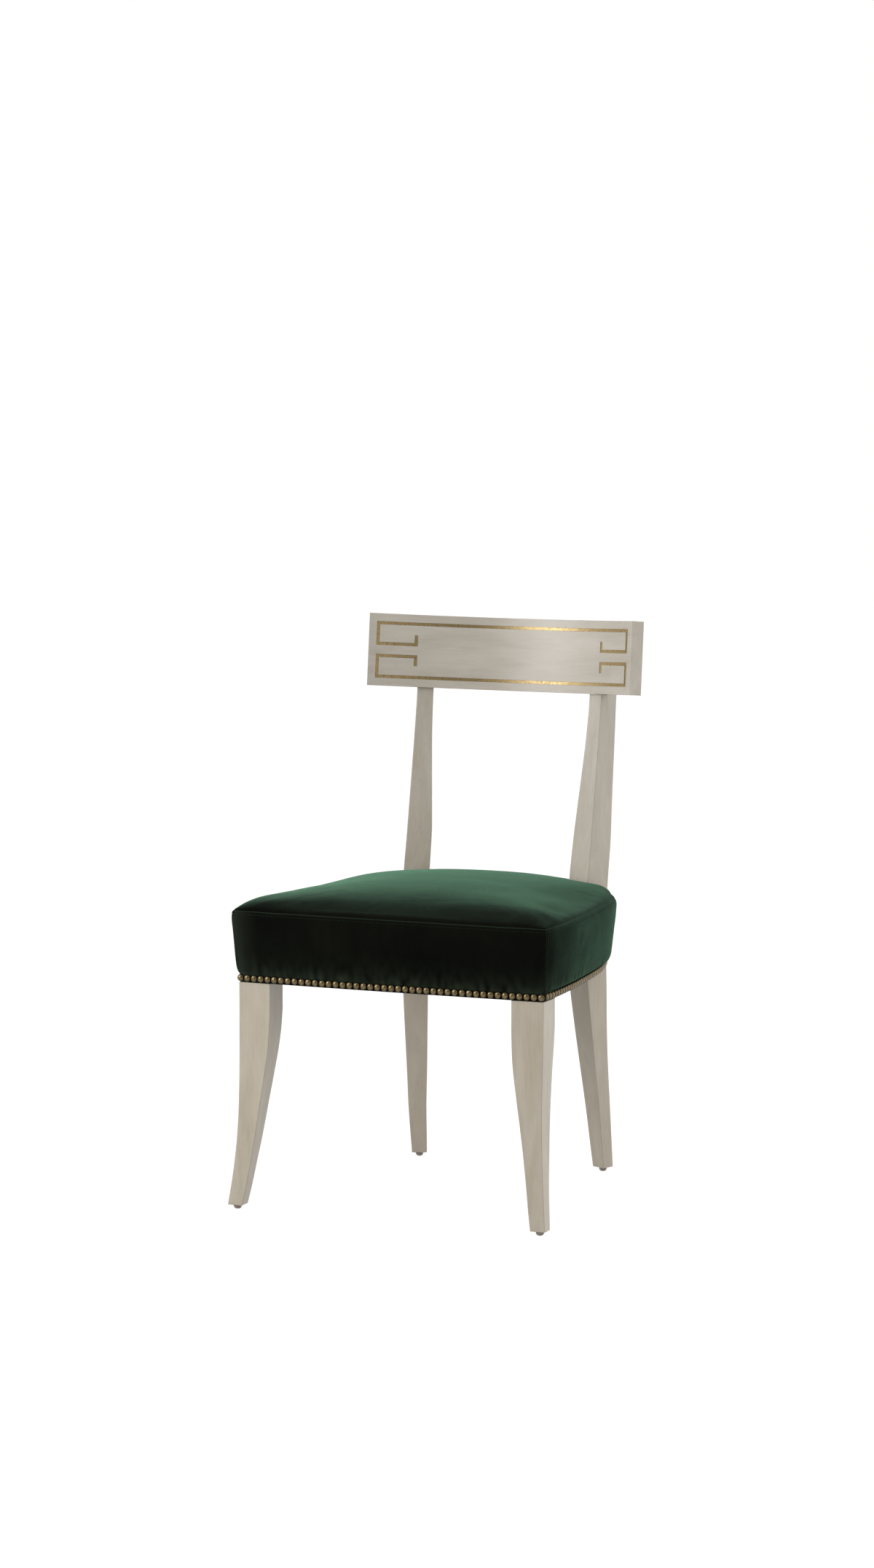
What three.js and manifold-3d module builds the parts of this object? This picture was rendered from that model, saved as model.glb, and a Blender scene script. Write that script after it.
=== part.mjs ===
// Klismos dining chair: sabre legs, a bowed and leaning back rail with a key pattern inlaid in it,
// and an upholstered seat with close nailing along its lower edge.
// Millimetres. X runs to the chair's right as seen from the front, Y from the front to the back, Z up.
// Lengths are written in a working frame whose Y zero lies a little behind the middle of the seat;
// the last lines move the finished chair so that its origin is under the middle of its bounding box.

import * as THREE from 'three';
import { mergeVertices } from 'three/addons/utils/BufferGeometryUtils.js';
import Module from 'manifold-3d';

const wasm = await Module();
wasm.setup();

// Clearances and overruns
const fitGap = 0.3;
const inlayFit = 0.2;
const cutOverrun = 6;
const weldDistance = 0.0005;

// Seat plan at the nailed edge
const seatWidth = 492;
const seatFrontReach = 230;
const seatFrontBow = 4;
const seatRearBow = 36;
const sideDepthShares = [0, 0.12, 0.3, 0.5, 0.68, 0.82, 0.92, 1];
const sideInsetShares = [0, 0, 0.06, 0.175, 0.318, 0.535, 0.77, 1];
const postCoverInset = 6;

// Seat heights: the hem above the floor, the rest above the hem
const hemHeight = 343.5;
const nailLineRise = 6.5;
const seatSideHeight = 108.5;
const nailLineHeight = hemHeight + nailLineRise;
const seamHeight = hemHeight + seatSideHeight;
const crownHeight = 40;
const crownPower = 1.9;
const crownEdgePower = 0.74;
const crownCornerEasing = 0.2;
const crownCornerDepth = 150;
const crownCornerPower = 6;
const crownCentreReach = 20;

// Cover and padding
const fabricThickness = 1.6;
const boxingFullness = 16.7;
const seamGap = 0.4;
const frontFullnessShare = 0.51;
const rearFullnessShare = 0.3;
const fullnessPlaceShares = [0, 0.22, 0.82, 0.91, 1];
const fullnessShares = [frontFullnessShare, 1, 1, 0.5, 0];
const boxingRiseShares = [0, 0.04, 0.13, 0.3, 0.5, 0.7, 0.86, 0.95, 1];
const tautOutShares = [0, 0.15, 0.37, 0.6, 0.78, 0.91, 1, 0.97, 0.82];
const looseOutShares = [0, 0.5, 0.66, 0.83, 0.93, 0.98, 1, 0.93, 0.74];
const crownRingShares = [1, 0.985, 0.95, 0.9, 0.82, 0.7, 0.55, 0.4, 0.22];
const crownLiningShares = [1, 0.95, 0.82, 0.6, 0.3];
const waddingRiseShares = [0.14, 0.3, 0.5, 0.64];
const waddingEndStations = 2;
const frontStations = 8;
const sideStations = 14;
const rearStations = 8;

// Seat frame
const frameRailThickness = 25;
const sideRailThickness = 30;
const frameInset = 1.5;
const frameRailHeight = 61;
const frameBottomHeight = hemHeight + frameInset;
const frameTopHeight = frameBottomHeight + frameRailHeight;
const deckThickness = 12;
const tenonLength = 22;
const tenonThickness = 9;
const tenonHeight = 36;
const postTenonLength = 14;
const postTenonSetback = 20;
const cornerBlockReach = 46;
const cornerBlockHeight = 38;
const cornerBlockDrop = 10;
const dustCoverThickness = 1;
const dustCoverSag = 4;
const dustCoverInset = 12;
const dustCoverRingShares = [1, 0.85];
const dustCoverSagShares = [0, 1];
const dustCoverLegGap = 1.2;

// Front legs
const frontLegWidth = 51;
const frontLegDepth = 46;
const frontFootWidth = 23.7;
const frontFootDepth = 21;
const frontLegOutSplay = 11.2;
const frontLegForeSplay = 20;
const kneeDrop = 43.5;
const kneeHeight = hemHeight - kneeDrop;
const legDropShares = [1, 0.92, 0.8, 0.65, 0.5, 0.35, 0.2, 0.1, 0];
const outSplayShares = [1, 0.76, 0.44, 0.15, -0.01, -0.06, -0.05, -0.02, 0];
const foreSplayShares = [1, 0.81, 0.57, 0.36, 0.24, 0.155, 0.085, 0.04, 0];
const frontWidthTaperShares = [1, 0.945, 0.885, 0.77, 0.6, 0.37, 0.14, 0.045, 0];
const frontDepthTaperShares = [1, 0.95, 0.87, 0.68, 0.54, 0.4, 0.23, 0.09, 0];

// Rear legs, which run on as the back posts
const postTurn = THREE.MathUtils.degToRad(22.4);
const postSpan = 311;
const postSetback = 172;
const waistRise = 28.5;
const waistHeight = hemHeight + waistRise;
const postBackSweep = 60.3;
const rearLegBackSweep = 58.5;
const rearLegOutSplay = 8.4;
const postTopHeight = 846;
const postTopSlope = 7;
const postNeckDrop = 106;
const postSweepHeight = postTopHeight - postNeckDrop - waistHeight;
const postSeatWidth = 41.5;
const postSeatDepth = 46;
const rearFootWidth = 23.9;
const rearFootDepth = 21.6;
const postRailWidth = 25.7;
const postRailDepth = 35;
const rearDropShares = [1, 0.92, 0.8, 0.65, 0.5, 0.35, 0.2, 0.08];
const rearSweepShares = [1, 0.9, 0.755, 0.595, 0.42, 0.25, 0.1, 0.02];
const rearOutShares = [1, 0.98, 0.94, 0.75, 0.55, 0.36, 0.17, 0.05];
const rearWidthTaperShares = [1, 0.89, 0.75, 0.57, 0.39, 0.22, 0.08, 0.02];
const rearDepthTaperShares = [1, 0.95, 0.88, 0.76, 0.6, 0.38, 0.14, 0.03];
const postRiseShares = [0, 0.12, 0.26, 0.4, 0.55, 0.7, 0.85, 1];
const postSweepShares = [0, 0.01, 0.125, 0.31, 0.49, 0.67, 0.845, 1];
const postWidthTaperShares = [0, 0.02, 0.05, 0.13, 0.37, 0.64, 0.88, 1];
const postDepthTaperShares = [0, 0, 0.02, 0.08, 0.35, 0.61, 0.82, 1];
const legEdgeEase = 1.2;

// Glides under the feet
const glideHeight = 6.1;
const glideRadius = 6.2;
const glideCollar = 2.4;
const glideFootRadius = 3.4;
const glideStemRadius = 2.2;
const glideStemLength = 12;
const glideSides = 10;

// Back rail: bowed about an upright axis in front of it, then leaned back as a whole
const railRadius = 368;
const railArcLength = 473.4;
const railHeight = 113.8;
const railThickness = 24.5;
const railEndTurn = THREE.MathUtils.degToRad(23.5);
const railEase = 1.3;
const railLean = THREE.MathUtils.degToRad(6.07);
const railSeatDrop = 97;
const railBehindPosts = 25.6;
const railBottomHeight = postTopHeight - railSeatDrop;
const railMiddleSetback = postSetback + postBackSweep + railBehindPosts;
const railFacets = 20;

// Key pattern on the rail's front face: one line above, its mirror below
const keyLineWidth = 5;
const keyMargin = 12.4;
const keyGap = 14;
const keyHookSpan = 65.7;
const keyHookRise = 17.2;
const keyGrooveDepth = 1.8;
const keyInlayThickness = 0.9;

// Plugs over the screws that hold the rail to the posts
const plugRadius = 5;
const plugLength = 6;
const plugProud = 0.4;
const plugHoleDepth = 6.5;
const plugDropShares = [0.24, 0.62];
const plugSides = 10;

// Close nailing
const nailPitch = 11.3;
const nailHeadWidth = 11;
const nailHeadHeight = 3.4;
const nailRim = 0.9;
const nailShoulderShare = 0.74;
const nailShoulderRiseShare = 0.68;
const frontNailMargin = 3.1;
const sideNailStart = 11;
const sideNailEnd = 17;
const rearNailMargin = 46;

// Finishes
const limedWood = { color: 0xb7aea0, roughness: 0.45, metalness: 0 };
const plainWood = { color: 0xc2a57c, roughness: 0.8, metalness: 0 };
const goldLeaf = { color: 0xb39556, roughness: 0.32, metalness: 0.9 };
const velvet = { color: 0x1f4a38, roughness: 0.95, metalness: 0 };
const foam = { color: 0xe2d9b8, roughness: 1, metalness: 0 };
const blackCloth = { color: 0x17171a, roughness: 1, metalness: 0 };
const agedBrass = { color: 0x8a7a55, roughness: 0.35, metalness: 0.9 };
const glideNylon = { color: 0xa39a90, roughness: 0.6, metalness: 0 };

// Geometry helpers

function solidOf(geometry) {
  const bare = geometry.clone();
  bare.deleteAttribute('normal');
  bare.deleteAttribute('uv');
  const welded = mergeVertices(bare, weldDistance);
  return new wasm.Manifold(new wasm.Mesh({
    numProp: 3,
    vertProperties: new Float32Array(welded.attributes.position.array),
    triVerts: new Uint32Array(welded.index.array),
  }));
}

function geometryOf(solid) {
  const mesh = solid.getMesh();
  const geometry = new THREE.BufferGeometry();
  geometry.setAttribute('position', new THREE.BufferAttribute(mesh.vertProperties, 3));
  geometry.setIndex(new THREE.BufferAttribute(mesh.triVerts, 1));
  geometry.computeVertexNormals();
  return geometry;
}

function join(first, ...others) {
  let whole = first;
  for (const other of others) whole = whole.add(other);
  return whole;
}

function cut(first, ...cutters) {
  let rest = first;
  for (const cutter of cutters) rest = rest.subtract(cutter);
  return rest;
}

// A closed body through rings of points. Each ring turns anticlockwise as seen from the next one's
// side, and both ends close on a middle point.
function loft(rings, firstTip = middleOf(rings[0]), lastTip = middleOf(rings[rings.length - 1])) {
  const count = rings[0].length;
  const last = (rings.length - 1) * count;
  const points = [...rings.flat(), firstTip, lastTip];
  const faces = [];
  for (let ring = 0; ring + 1 < rings.length; ring += 1) {
    for (let step = 0; step < count; step += 1) {
      const a = ring * count + step;
      const b = ring * count + (step + 1) % count;
      faces.push(a, b, b + count, a, b + count, a + count);
    }
  }
  for (let step = 0; step < count; step += 1) {
    const next = (step + 1) % count;
    faces.push(next, step, points.length - 2);
    faces.push(last + step, last + next, points.length - 1);
  }
  return geometryFrom(points, faces);
}

// A closed slab between two grids of points with the same rows and columns. Both faces are split
// along the same diagonals as a loft's, so that neighbours keep an even gap.
function slab(outer, inner) {
  const rings = outer.map((row, at) => [...inner[at], ...row.slice().reverse()]);
  const count = rings[0].length;
  const points = rings.flat();
  const faces = [];
  for (let ring = 0; ring + 1 < rings.length; ring += 1) {
    for (let step = 0; step < count; step += 1) {
      const a = ring * count + step;
      const b = ring * count + (step + 1) % count;
      if (step < count / 2) faces.push(a, b, b + count, a, b + count, a + count);
      else faces.push(a, b, a + count, b, b + count, a + count);
    }
  }
  const last = (rings.length - 1) * count;
  for (let step = 0; step + 1 < count / 2; step += 1) {
    const a = step;
    const b = step + 1;
    const c = count - 2 - step;
    const d = count - 1 - step;
    faces.push(a, c, b, a, d, c);
    faces.push(last + a, last + b, last + c, last + a, last + c, last + d);
  }
  return geometryFrom(points, faces);
}

function geometryFrom(points, faces) {
  const geometry = new THREE.BufferGeometry().setFromPoints(points);
  geometry.setIndex(faces);
  return geometry;
}

function middleOf(ring) {
  const middle = new THREE.Vector3();
  for (const point of ring) middle.add(point);
  return middle.divideScalar(ring.length);
}

function mirrored(geometry) {
  const copy = geometry.clone();
  copy.scale(-1, 1, 1);
  const index = copy.index.array;
  for (let face = 0; face < index.length; face += 3) {
    [index[face], index[face + 1]] = [index[face + 1], index[face]];
  }
  copy.computeVertexNormals();
  return copy;
}

function boxBetween(low, high) {
  const size = new THREE.Vector3().subVectors(high, low);
  const middle = new THREE.Vector3().addVectors(low, high).divideScalar(2);
  const box = new THREE.BoxGeometry(size.x, size.y, size.z);
  box.translate(middle.x, middle.y, middle.z);
  return box;
}

// Straight-line reading of a table of shares.
function readShares(places, values, at) {
  let step = 1;
  while (step < places.length - 1 && at > places[step]) step += 1;
  const along = (at - places[step - 1]) / (places[step] - places[step - 1]);
  return THREE.MathUtils.lerp(values[step - 1], values[step], along);
}

// Rear legs and posts. A section is given by its outer front corner, its width towards the middle of
// the chair and its depth towards the back, all turned with the curve of the back.
const across = new THREE.Vector2(Math.cos(postTurn), -Math.sin(postTurn));
const rearward = new THREE.Vector2(Math.sin(postTurn), Math.cos(postTurn));
const legFoot = glideHeight + fitGap;

function rearLegSections() {
  const sections = rearDropShares.map((drop, at) => ({
    height: THREE.MathUtils.lerp(waistHeight, legFoot, drop),
    x: postSpan / 2 + rearLegOutSplay * rearOutShares[at],
    y: postSetback + rearLegBackSweep * rearSweepShares[at],
    width: THREE.MathUtils.lerp(postSeatWidth, rearFootWidth, rearWidthTaperShares[at]),
    depth: THREE.MathUtils.lerp(postSeatDepth, rearFootDepth, rearDepthTaperShares[at]),
  }));
  postRiseShares.forEach((rise, at) => sections.push({
    height: waistHeight + postSweepHeight * rise,
    x: postSpan / 2,
    y: postSetback + postBackSweep * postSweepShares[at],
    width: THREE.MathUtils.lerp(postSeatWidth, postRailWidth, postWidthTaperShares[at]),
    depth: THREE.MathUtils.lerp(postSeatDepth, postRailDepth, postDepthTaperShares[at]),
  }));
  const neck = sections[sections.length - 1];
  const lean = (height) => neck.y + (height - neck.height) * Math.tan(railLean);
  const topHeight = postTopHeight - postTopSlope;
  sections.push({ ...neck, height: topHeight, y: lean(topHeight) });
  sections.push({
    ...neck, height: postTopHeight, y: lean(postTopHeight), depth: neck.depth - postTopSlope,
  });
  return sections;
}

function postSectionAt(height) {
  const sections = rearLegSections();
  const heights = sections.map((section) => section.height);
  const read = (key) => readShares(heights, sections.map((section) => section[key]), height);
  return { height, x: read('x'), y: read('y'), width: read('width'), depth: read('depth') };
}

// A point of the post's section, by its distance in from the outer face and back from the front.
function postPoint(section, inward, back) {
  return new THREE.Vector3(
    section.x - across.x * inward + rearward.x * back,
    section.y - across.y * inward + rearward.y * back,
    section.height,
  );
}

function postRing(section, grown, ease) {
  const near = -grown;
  const wide = section.width + grown;
  const deep = section.depth + grown;
  return [
    [near + ease, near], [near, near + ease], [near, deep - ease], [near + ease, deep],
    [wide - ease, deep], [wide, deep - ease], [wide, near + ease], [wide - ease, near],
  ].map(([inward, back]) => postPoint(section, inward, back));
}

function rearLegBlank(grown = 0) {
  return loft(rearLegSections().map((section) => postRing(section, grown, legEdgeEase)));
}

function postBlock(inwardRange, backRange, heightRange, grown = 0) {
  const section = postSectionAt(waistHeight);
  const ring = (height) => [
    [inwardRange[0] - grown, backRange[0] - grown],
    [inwardRange[0] - grown, backRange[1] + grown],
    [inwardRange[1] + grown, backRange[1] + grown],
    [inwardRange[1] + grown, backRange[0] - grown],
  ].map(([inward, back]) => postPoint({ ...section, height }, inward, back));
  return solidOf(loft([ring(heightRange[0] - grown), ring(heightRange[1] + grown)]));
}

const postClearance = solidOf(rearLegBlank(fitGap));
const postClearances = [postClearance, solidOf(mirrored(rearLegBlank(fitGap)))];

// Seat plan: four curves that run anticlockwise as seen from above
const halfSeat = seatWidth / 2;
const postAtSeat = postSectionAt(waistHeight);
const rearCorner = postPoint(postAtSeat, postCoverInset, postAtSeat.depth - postCoverInset);

function sideCurve() {
  const length = rearCorner.y + seatFrontReach;
  const narrowing = halfSeat - rearCorner.x;
  return new THREE.SplineCurve(sideDepthShares.map((share, at) => new THREE.Vector2(
    halfSeat - narrowing * sideInsetShares[at],
    length * share - seatFrontReach,
  )));
}

function bowedCurve(start, end, bow) {
  const middle = new THREE.Vector2((start.x + end.x) / 2, (start.y + end.y) / 2 + bow * 2);
  return new THREE.QuadraticBezierCurve(start, middle, end);
}

const rightSide = sideCurve();
const leftSide = new THREE.SplineCurve(
  rightSide.points.map((point) => new THREE.Vector2(-point.x, point.y)).reverse(),
);
const seatEdges = {
  front: {
    curve: bowedCurve(
      new THREE.Vector2(-halfSeat, -seatFrontReach),
      new THREE.Vector2(halfSeat, -seatFrontReach),
      -seatFrontBow,
    ),
    stations: frontStations,
    fullness: () => frontFullnessShare,
  },
  right: {
    curve: rightSide,
    stations: sideStations,
    fullness: (share) => readShares(fullnessPlaceShares, fullnessShares, share),
  },
  rear: {
    curve: bowedCurve(
      new THREE.Vector2(rearCorner.x, rearCorner.y),
      new THREE.Vector2(-rearCorner.x, rearCorner.y),
      seatRearBow,
    ),
    stations: rearStations,
    fullness: (share) => rearFullnessShare * (1 - (2 * share - 1) ** 2),
  },
  left: {
    curve: leftSide,
    stations: sideStations,
    fullness: (share) => readShares(fullnessPlaceShares, fullnessShares, 1 - share),
  },
};
const edgeOrder = ['front', 'right', 'rear', 'left'];

function outwardAt(curve, share) {
  const tangent = curve.getTangentAt(share);
  return new THREE.Vector2(tangent.y, -tangent.x);
}

// The direction that moves a corner out by the same distance from both edges that meet there.
function mitre(first, second) {
  return first.clone().add(second).divideScalar(1 + first.dot(second));
}

function stationAt(name, share) {
  const edge = seatEdges[name];
  const order = edgeOrder.indexOf(name);
  let outward = outwardAt(edge.curve, share);
  if (share === 0) {
    const before = seatEdges[edgeOrder[(order + 3) % 4]];
    outward = mitre(outward, outwardAt(before.curve, 1));
  }
  if (share === 1) {
    const after = seatEdges[edgeOrder[(order + 1) % 4]];
    outward = mitre(outward, outwardAt(after.curve, 0));
  }
  return {
    point: edge.curve.getPointAt(share),
    along: edge.curve.getTangentAt(share),
    outward,
    fullness: edge.fullness(share),
  };
}

function edgeStations(name) {
  const count = seatEdges[name].stations;
  return Array.from({ length: count + 1 }, (unused, step) => stationAt(name, step / count));
}

const planStations = edgeOrder.flatMap((name) => edgeStations(name).slice(0, -1));

function movedPoint(station, distance, height, shift = 0) {
  return new THREE.Vector3(
    station.point.x + station.outward.x * distance + station.along.x * shift,
    station.point.y + station.outward.y * distance + station.along.y * shift,
    height,
  );
}

function planRing(distance, height) {
  return planStations.map((station) => movedPoint(station, distance, height));
}

// The cover lies flat behind the nails, swells out above them and turns in again at the seam.
const pinchHeight = nailLineHeight + nailHeadWidth / 2 + fitGap;

// It is pulled taut round the front corners and sits looser, fuller near the nails, on the sides.
function boxingOut(station, riseShare) {
  const taut = readShares(boxingRiseShares, tautOutShares, riseShare);
  const loose = readShares(boxingRiseShares, looseOutShares, riseShare);
  const slack = (station.fullness - frontFullnessShare) / (1 - frontFullnessShare);
  const out = THREE.MathUtils.lerp(taut, loose, Math.max(slack, 0));
  return boxingFullness * station.fullness * out;
}

function heightOf(riseShare) {
  return THREE.MathUtils.lerp(pinchHeight, seamHeight, riseShare);
}

const coverInside = fabricThickness + fitGap;
const frameFace = -coverInside;

// Boxing: one strip of cloth to each edge, sewn at the front corners
function boxingStrip(name) {
  const stations = edgeStations(name);
  const last = stations.length - 1;
  const shiftAt = (at) => {
    if (at === 0) return seamGap / 2;
    return at === last ? -seamGap / 2 : 0;
  };
  const column = (station, at, inset) => [
    movedPoint(station, -inset, hemHeight, shiftAt(at)),
    ...boxingRiseShares.map((rise) => movedPoint(
      station, boxingOut(station, rise) - inset, heightOf(rise), shiftAt(at),
    )),
  ];
  const outer = stations.map((station, at) => column(station, at, 0));
  const inner = stations.map((station, at) => column(station, at, fabricThickness));
  return solidOf(slab(outer, inner));
}

function coverBoxing(name) {
  return cut(boxingStrip(name), ...postClearances);
}

// Crowned top of the seat
const crownCentre = new THREE.Vector2(0, -crownCentreReach);

// The padding stands fuller in the two front corners.
function crownAt(station, share) {
  const sideways = Math.min(Math.abs(station.point.x) / halfSeat, 1) ** crownCornerPower;
  const forward = Math.max(1 - (station.point.y + seatFrontReach) / crownCornerDepth, 0);
  const edgePower = crownEdgePower - crownCornerEasing * sideways * Math.min(forward, 1);
  return crownHeight * (1 - share ** crownPower) ** edgePower;
}

function crownRing(share, base, inset) {
  return planStations.map((station) => {
    const height = base + crownAt(station, share);
    const edge = movedPoint(station, boxingOut(station, 1) - inset, height);
    edge.x = THREE.MathUtils.lerp(crownCentre.x, edge.x, share);
    edge.y = THREE.MathUtils.lerp(crownCentre.y, edge.y, share);
    return edge;
  });
}

function crownTip(base) {
  return new THREE.Vector3(crownCentre.x, crownCentre.y, base + crownHeight);
}

const panelUnderside = seamHeight + fitGap;
const panelTop = panelUnderside + fabricThickness;

function topPanel() {
  const rings = [
    ...crownLiningShares.map((share) => crownRing(share, panelUnderside, 0)).reverse(),
    ...crownRingShares.map((share) => crownRing(share, panelTop, 0)),
  ];
  const panel = solidOf(loft(rings, crownTip(panelUnderside), crownTip(panelTop)));
  return cut(panel, ...postClearances);
}

const deckTop = frameTopHeight + fitGap + deckThickness;

function seatFoam() {
  const foamBottom = deckTop + fitGap;
  const bottomRise = (foamBottom - pinchHeight) / (seamHeight - pinchHeight);
  const rises = [bottomRise, ...boxingRiseShares.filter((rise) => rise > bottomRise && rise < 1)];
  const side = rises.map((rise) => planStations.map((station) => movedPoint(
    station, boxingOut(station, rise) - coverInside, heightOf(rise),
  )));
  const foamTop = panelUnderside - fitGap;
  const top = crownLiningShares.map((share) => crownRing(share, foamTop, coverInside));
  const bottomTip = new THREE.Vector3(crownCentre.x, crownCentre.y, foamBottom);
  return cut(solidOf(loft([...side, ...top], bottomTip, crownTip(foamTop))), ...postClearances);
}

// Wadding between the frame's outer face and the swell of the boxing
function edgeWadding(name) {
  const stations = edgeStations(name).slice(waddingEndStations, -waddingEndStations);
  const outer = stations.map((station) => waddingRiseShares.map((rise) => movedPoint(
    station, boxingOut(station, rise) - coverInside, heightOf(rise),
  )));
  const inner = stations.map((station) => waddingRiseShares.map((rise) => movedPoint(
    station, frameFace + fitGap, heightOf(rise),
  )));
  return solidOf(slab(outer, inner));
}

// Seat frame rails follow the plan just inside the cloth
function frameBand(name, thickness) {
  const heights = [frameBottomHeight, frameTopHeight];
  const stations = edgeStations(name);
  const outer = stations.map((station) => (
    heights.map((height) => movedPoint(station, frameFace, height))));
  const inner = stations.map((station) => (
    heights.map((height) => movedPoint(station, frameFace - thickness, height))));
  return solidOf(slab(outer, inner));
}

const legFaceX = halfSeat;
const legFaceY = -seatFrontReach;
const legInnerX = legFaceX - frontLegWidth;
const legRearY = legFaceY + frontLegDepth;
const tenonBottom = (frameBottomHeight + frameTopHeight - tenonHeight) / 2;
const tenonTop = tenonBottom + tenonHeight;

function frontLegClearance() {
  return solidOf(boxBetween(
    new THREE.Vector3(legInnerX - fitGap, legFaceY - cutOverrun, frameBottomHeight - cutOverrun),
    new THREE.Vector3(legFaceX + cutOverrun, legRearY + fitGap, frameTopHeight + cutOverrun),
  ));
}

function frontRailTenon(grown = 0) {
  const middle = legFaceY - frameFace + frameRailThickness / 2;
  return solidOf(boxBetween(
    new THREE.Vector3(
      legInnerX - cutOverrun, middle - tenonThickness / 2 - grown, tenonBottom - grown,
    ),
    new THREE.Vector3(
      legInnerX + tenonLength + grown, middle + tenonThickness / 2 + grown, tenonTop + grown,
    ),
  ));
}

function sideRailTenon(grown = 0) {
  const middle = legFaceX + frameFace - sideRailThickness / 2;
  return solidOf(boxBetween(
    new THREE.Vector3(
      middle - tenonThickness / 2 - grown, legRearY - tenonLength - grown, tenonBottom - grown,
    ),
    new THREE.Vector3(
      middle + tenonThickness / 2 + grown, legRearY + cutOverrun, tenonTop + grown,
    ),
  ));
}

function outerPostTenon(grown = 0) {
  const back = [postTenonSetback - tenonThickness / 2, postTenonSetback + tenonThickness / 2];
  return postBlock([-cutOverrun, postTenonLength], back, [tenonBottom, tenonTop], grown);
}

function innerPostTenon(grown = 0) {
  const middle = postAtSeat.depth - postCoverInset + frameFace - frameRailThickness / 2;
  const back = [middle - tenonThickness / 2, middle + tenonThickness / 2];
  const inward = [postAtSeat.width - postTenonLength, postAtSeat.width + cutOverrun];
  return postBlock(inward, back, [tenonBottom, tenonTop], grown);
}

function bothSides(rightSolid) {
  return [rightSolid, solidOf(mirrored(geometryOf(rightSolid)))];
}

function frontRail() {
  const band = frameBand('front', frameRailThickness);
  const trimmed = cut(band, ...bothSides(frontLegClearance()));
  return join(trimmed, ...bothSides(frontRailTenon()));
}

function sideRail() {
  const band = frameBand('right', sideRailThickness);
  const trimmed = cut(band, frontLegClearance(), postClearance);
  return join(trimmed, sideRailTenon(), outerPostTenon());
}

function rearRail() {
  const band = frameBand('rear', frameRailThickness);
  return join(cut(band, ...postClearances), ...bothSides(innerPostTenon()));
}

function seatDeck() {
  const bottom = frameTopHeight + fitGap;
  const deck = solidOf(loft([planRing(frameFace, bottom), planRing(frameFace, deckTop)]));
  return cut(deck, ...postClearances);
}

// A glue block in each front corner, fitted to both rails and notched round the leg
function cornerBlock() {
  const insideFrontRail = legFaceY - frameFace + frameRailThickness / 2;
  const insideSideRail = legFaceX + frameFace - sideRailThickness / 2;
  const shape = new THREE.Shape([
    new THREE.Vector2(legInnerX - cornerBlockReach, insideFrontRail),
    new THREE.Vector2(insideSideRail, insideFrontRail),
    new THREE.Vector2(insideSideRail, legRearY + cornerBlockReach),
  ]);
  const block = new THREE.ExtrudeGeometry(shape, { depth: cornerBlockHeight, bevelEnabled: false });
  block.translate(0, 0, frameTopHeight - cornerBlockDrop - cornerBlockHeight);
  return cut(
    solidOf(block),
    frameBand('front', frameRailThickness + fitGap),
    frameBand('right', sideRailThickness + fitGap),
    frontLegClearance(),
  );
}

// Front legs: a straight block under and inside the seat, then a sabre taper
function frontLegRing(section) {
  const { x, y, height, width, depth } = section;
  const ease = legEdgeEase;
  return [
    [x - ease, y], [x, y + ease], [x, y + depth - ease], [x - ease, y + depth],
    [x - width + ease, y + depth], [x - width, y + depth - ease],
    [x - width, y + ease], [x - width + ease, y],
  ].map(([px, py]) => new THREE.Vector3(px, py, height));
}

function frontLegBlank() {
  const sections = legDropShares.map((drop, at) => ({
    height: THREE.MathUtils.lerp(kneeHeight, legFoot, drop),
    x: legFaceX + frontLegOutSplay * outSplayShares[at],
    y: legFaceY - frontLegForeSplay * foreSplayShares[at],
    width: THREE.MathUtils.lerp(frontLegWidth, frontFootWidth, frontWidthTaperShares[at]),
    depth: THREE.MathUtils.lerp(frontLegDepth, frontFootDepth, frontDepthTaperShares[at]),
  }));
  const block = sections[sections.length - 1];
  const ledge = hemHeight - fitGap;
  const inside = {
    x: block.x + frameFace,
    y: block.y - frameFace,
    width: block.width + frameFace,
    depth: block.depth + frameFace,
  };
  return loft([
    ...sections.map(frontLegRing),
    frontLegRing({ ...block, height: ledge }),
    frontLegRing({ ...inside, height: ledge }),
    frontLegRing({ ...inside, height: frameTopHeight }),
  ]);
}

function glideHole(middle) {
  const hole = new THREE.CylinderGeometry(
    glideStemRadius + fitGap,
    glideStemRadius + fitGap,
    glideStemLength + cutOverrun,
    glideSides,
  );
  hole.rotateX(Math.PI / 2);
  const bottom = glideHeight - cutOverrun / 2;
  hole.translate(middle.x, middle.y, bottom + (glideStemLength + cutOverrun) / 2);
  return solidOf(hole);
}

const frontGlideMiddle = new THREE.Vector2(
  legFaceX + frontLegOutSplay - frontFootWidth / 2,
  legFaceY - frontLegForeSplay + frontFootDepth / 2,
);
const rearFoot = rearLegSections()[0];
const rearGlideMiddle = postPoint(rearFoot, rearFoot.width / 2, rearFoot.depth / 2);

function frontLeg() {
  return cut(
    solidOf(frontLegBlank()),
    frontRailTenon(fitGap),
    sideRailTenon(fitGap),
    glideHole(frontGlideMiddle),
  );
}

function glide(middle) {
  const rim = glideHeight;
  const profile = [
    [0, 0],
    [glideFootRadius, 0],
    [(glideFootRadius + glideRadius) / 2, (rim - glideCollar) / 3],
    [glideRadius, rim - glideCollar],
    [glideRadius, rim],
    [glideStemRadius, rim],
    [glideStemRadius, rim + glideStemLength - glideStemRadius],
    [0, rim + glideStemLength - glideStemRadius / 2],
  ].map(([radius, height]) => new THREE.Vector2(radius, height));
  const body = new THREE.LatheGeometry(profile, glideSides);
  body.rotateX(Math.PI / 2);
  body.translate(middle.x, middle.y, 0);
  return solidOf(body);
}

// Back rail. Local frame: the front face's middle at the origin, X across, Y back, Z up the face.
const railEndAngle = railArcLength / railRadius / 2;

function railPoint(angle, depth, height) {
  const radius = railRadius + depth;
  return new THREE.Vector3(
    radius * Math.sin(angle),
    radius * Math.cos(angle) - railRadius,
    height,
  );
}

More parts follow.
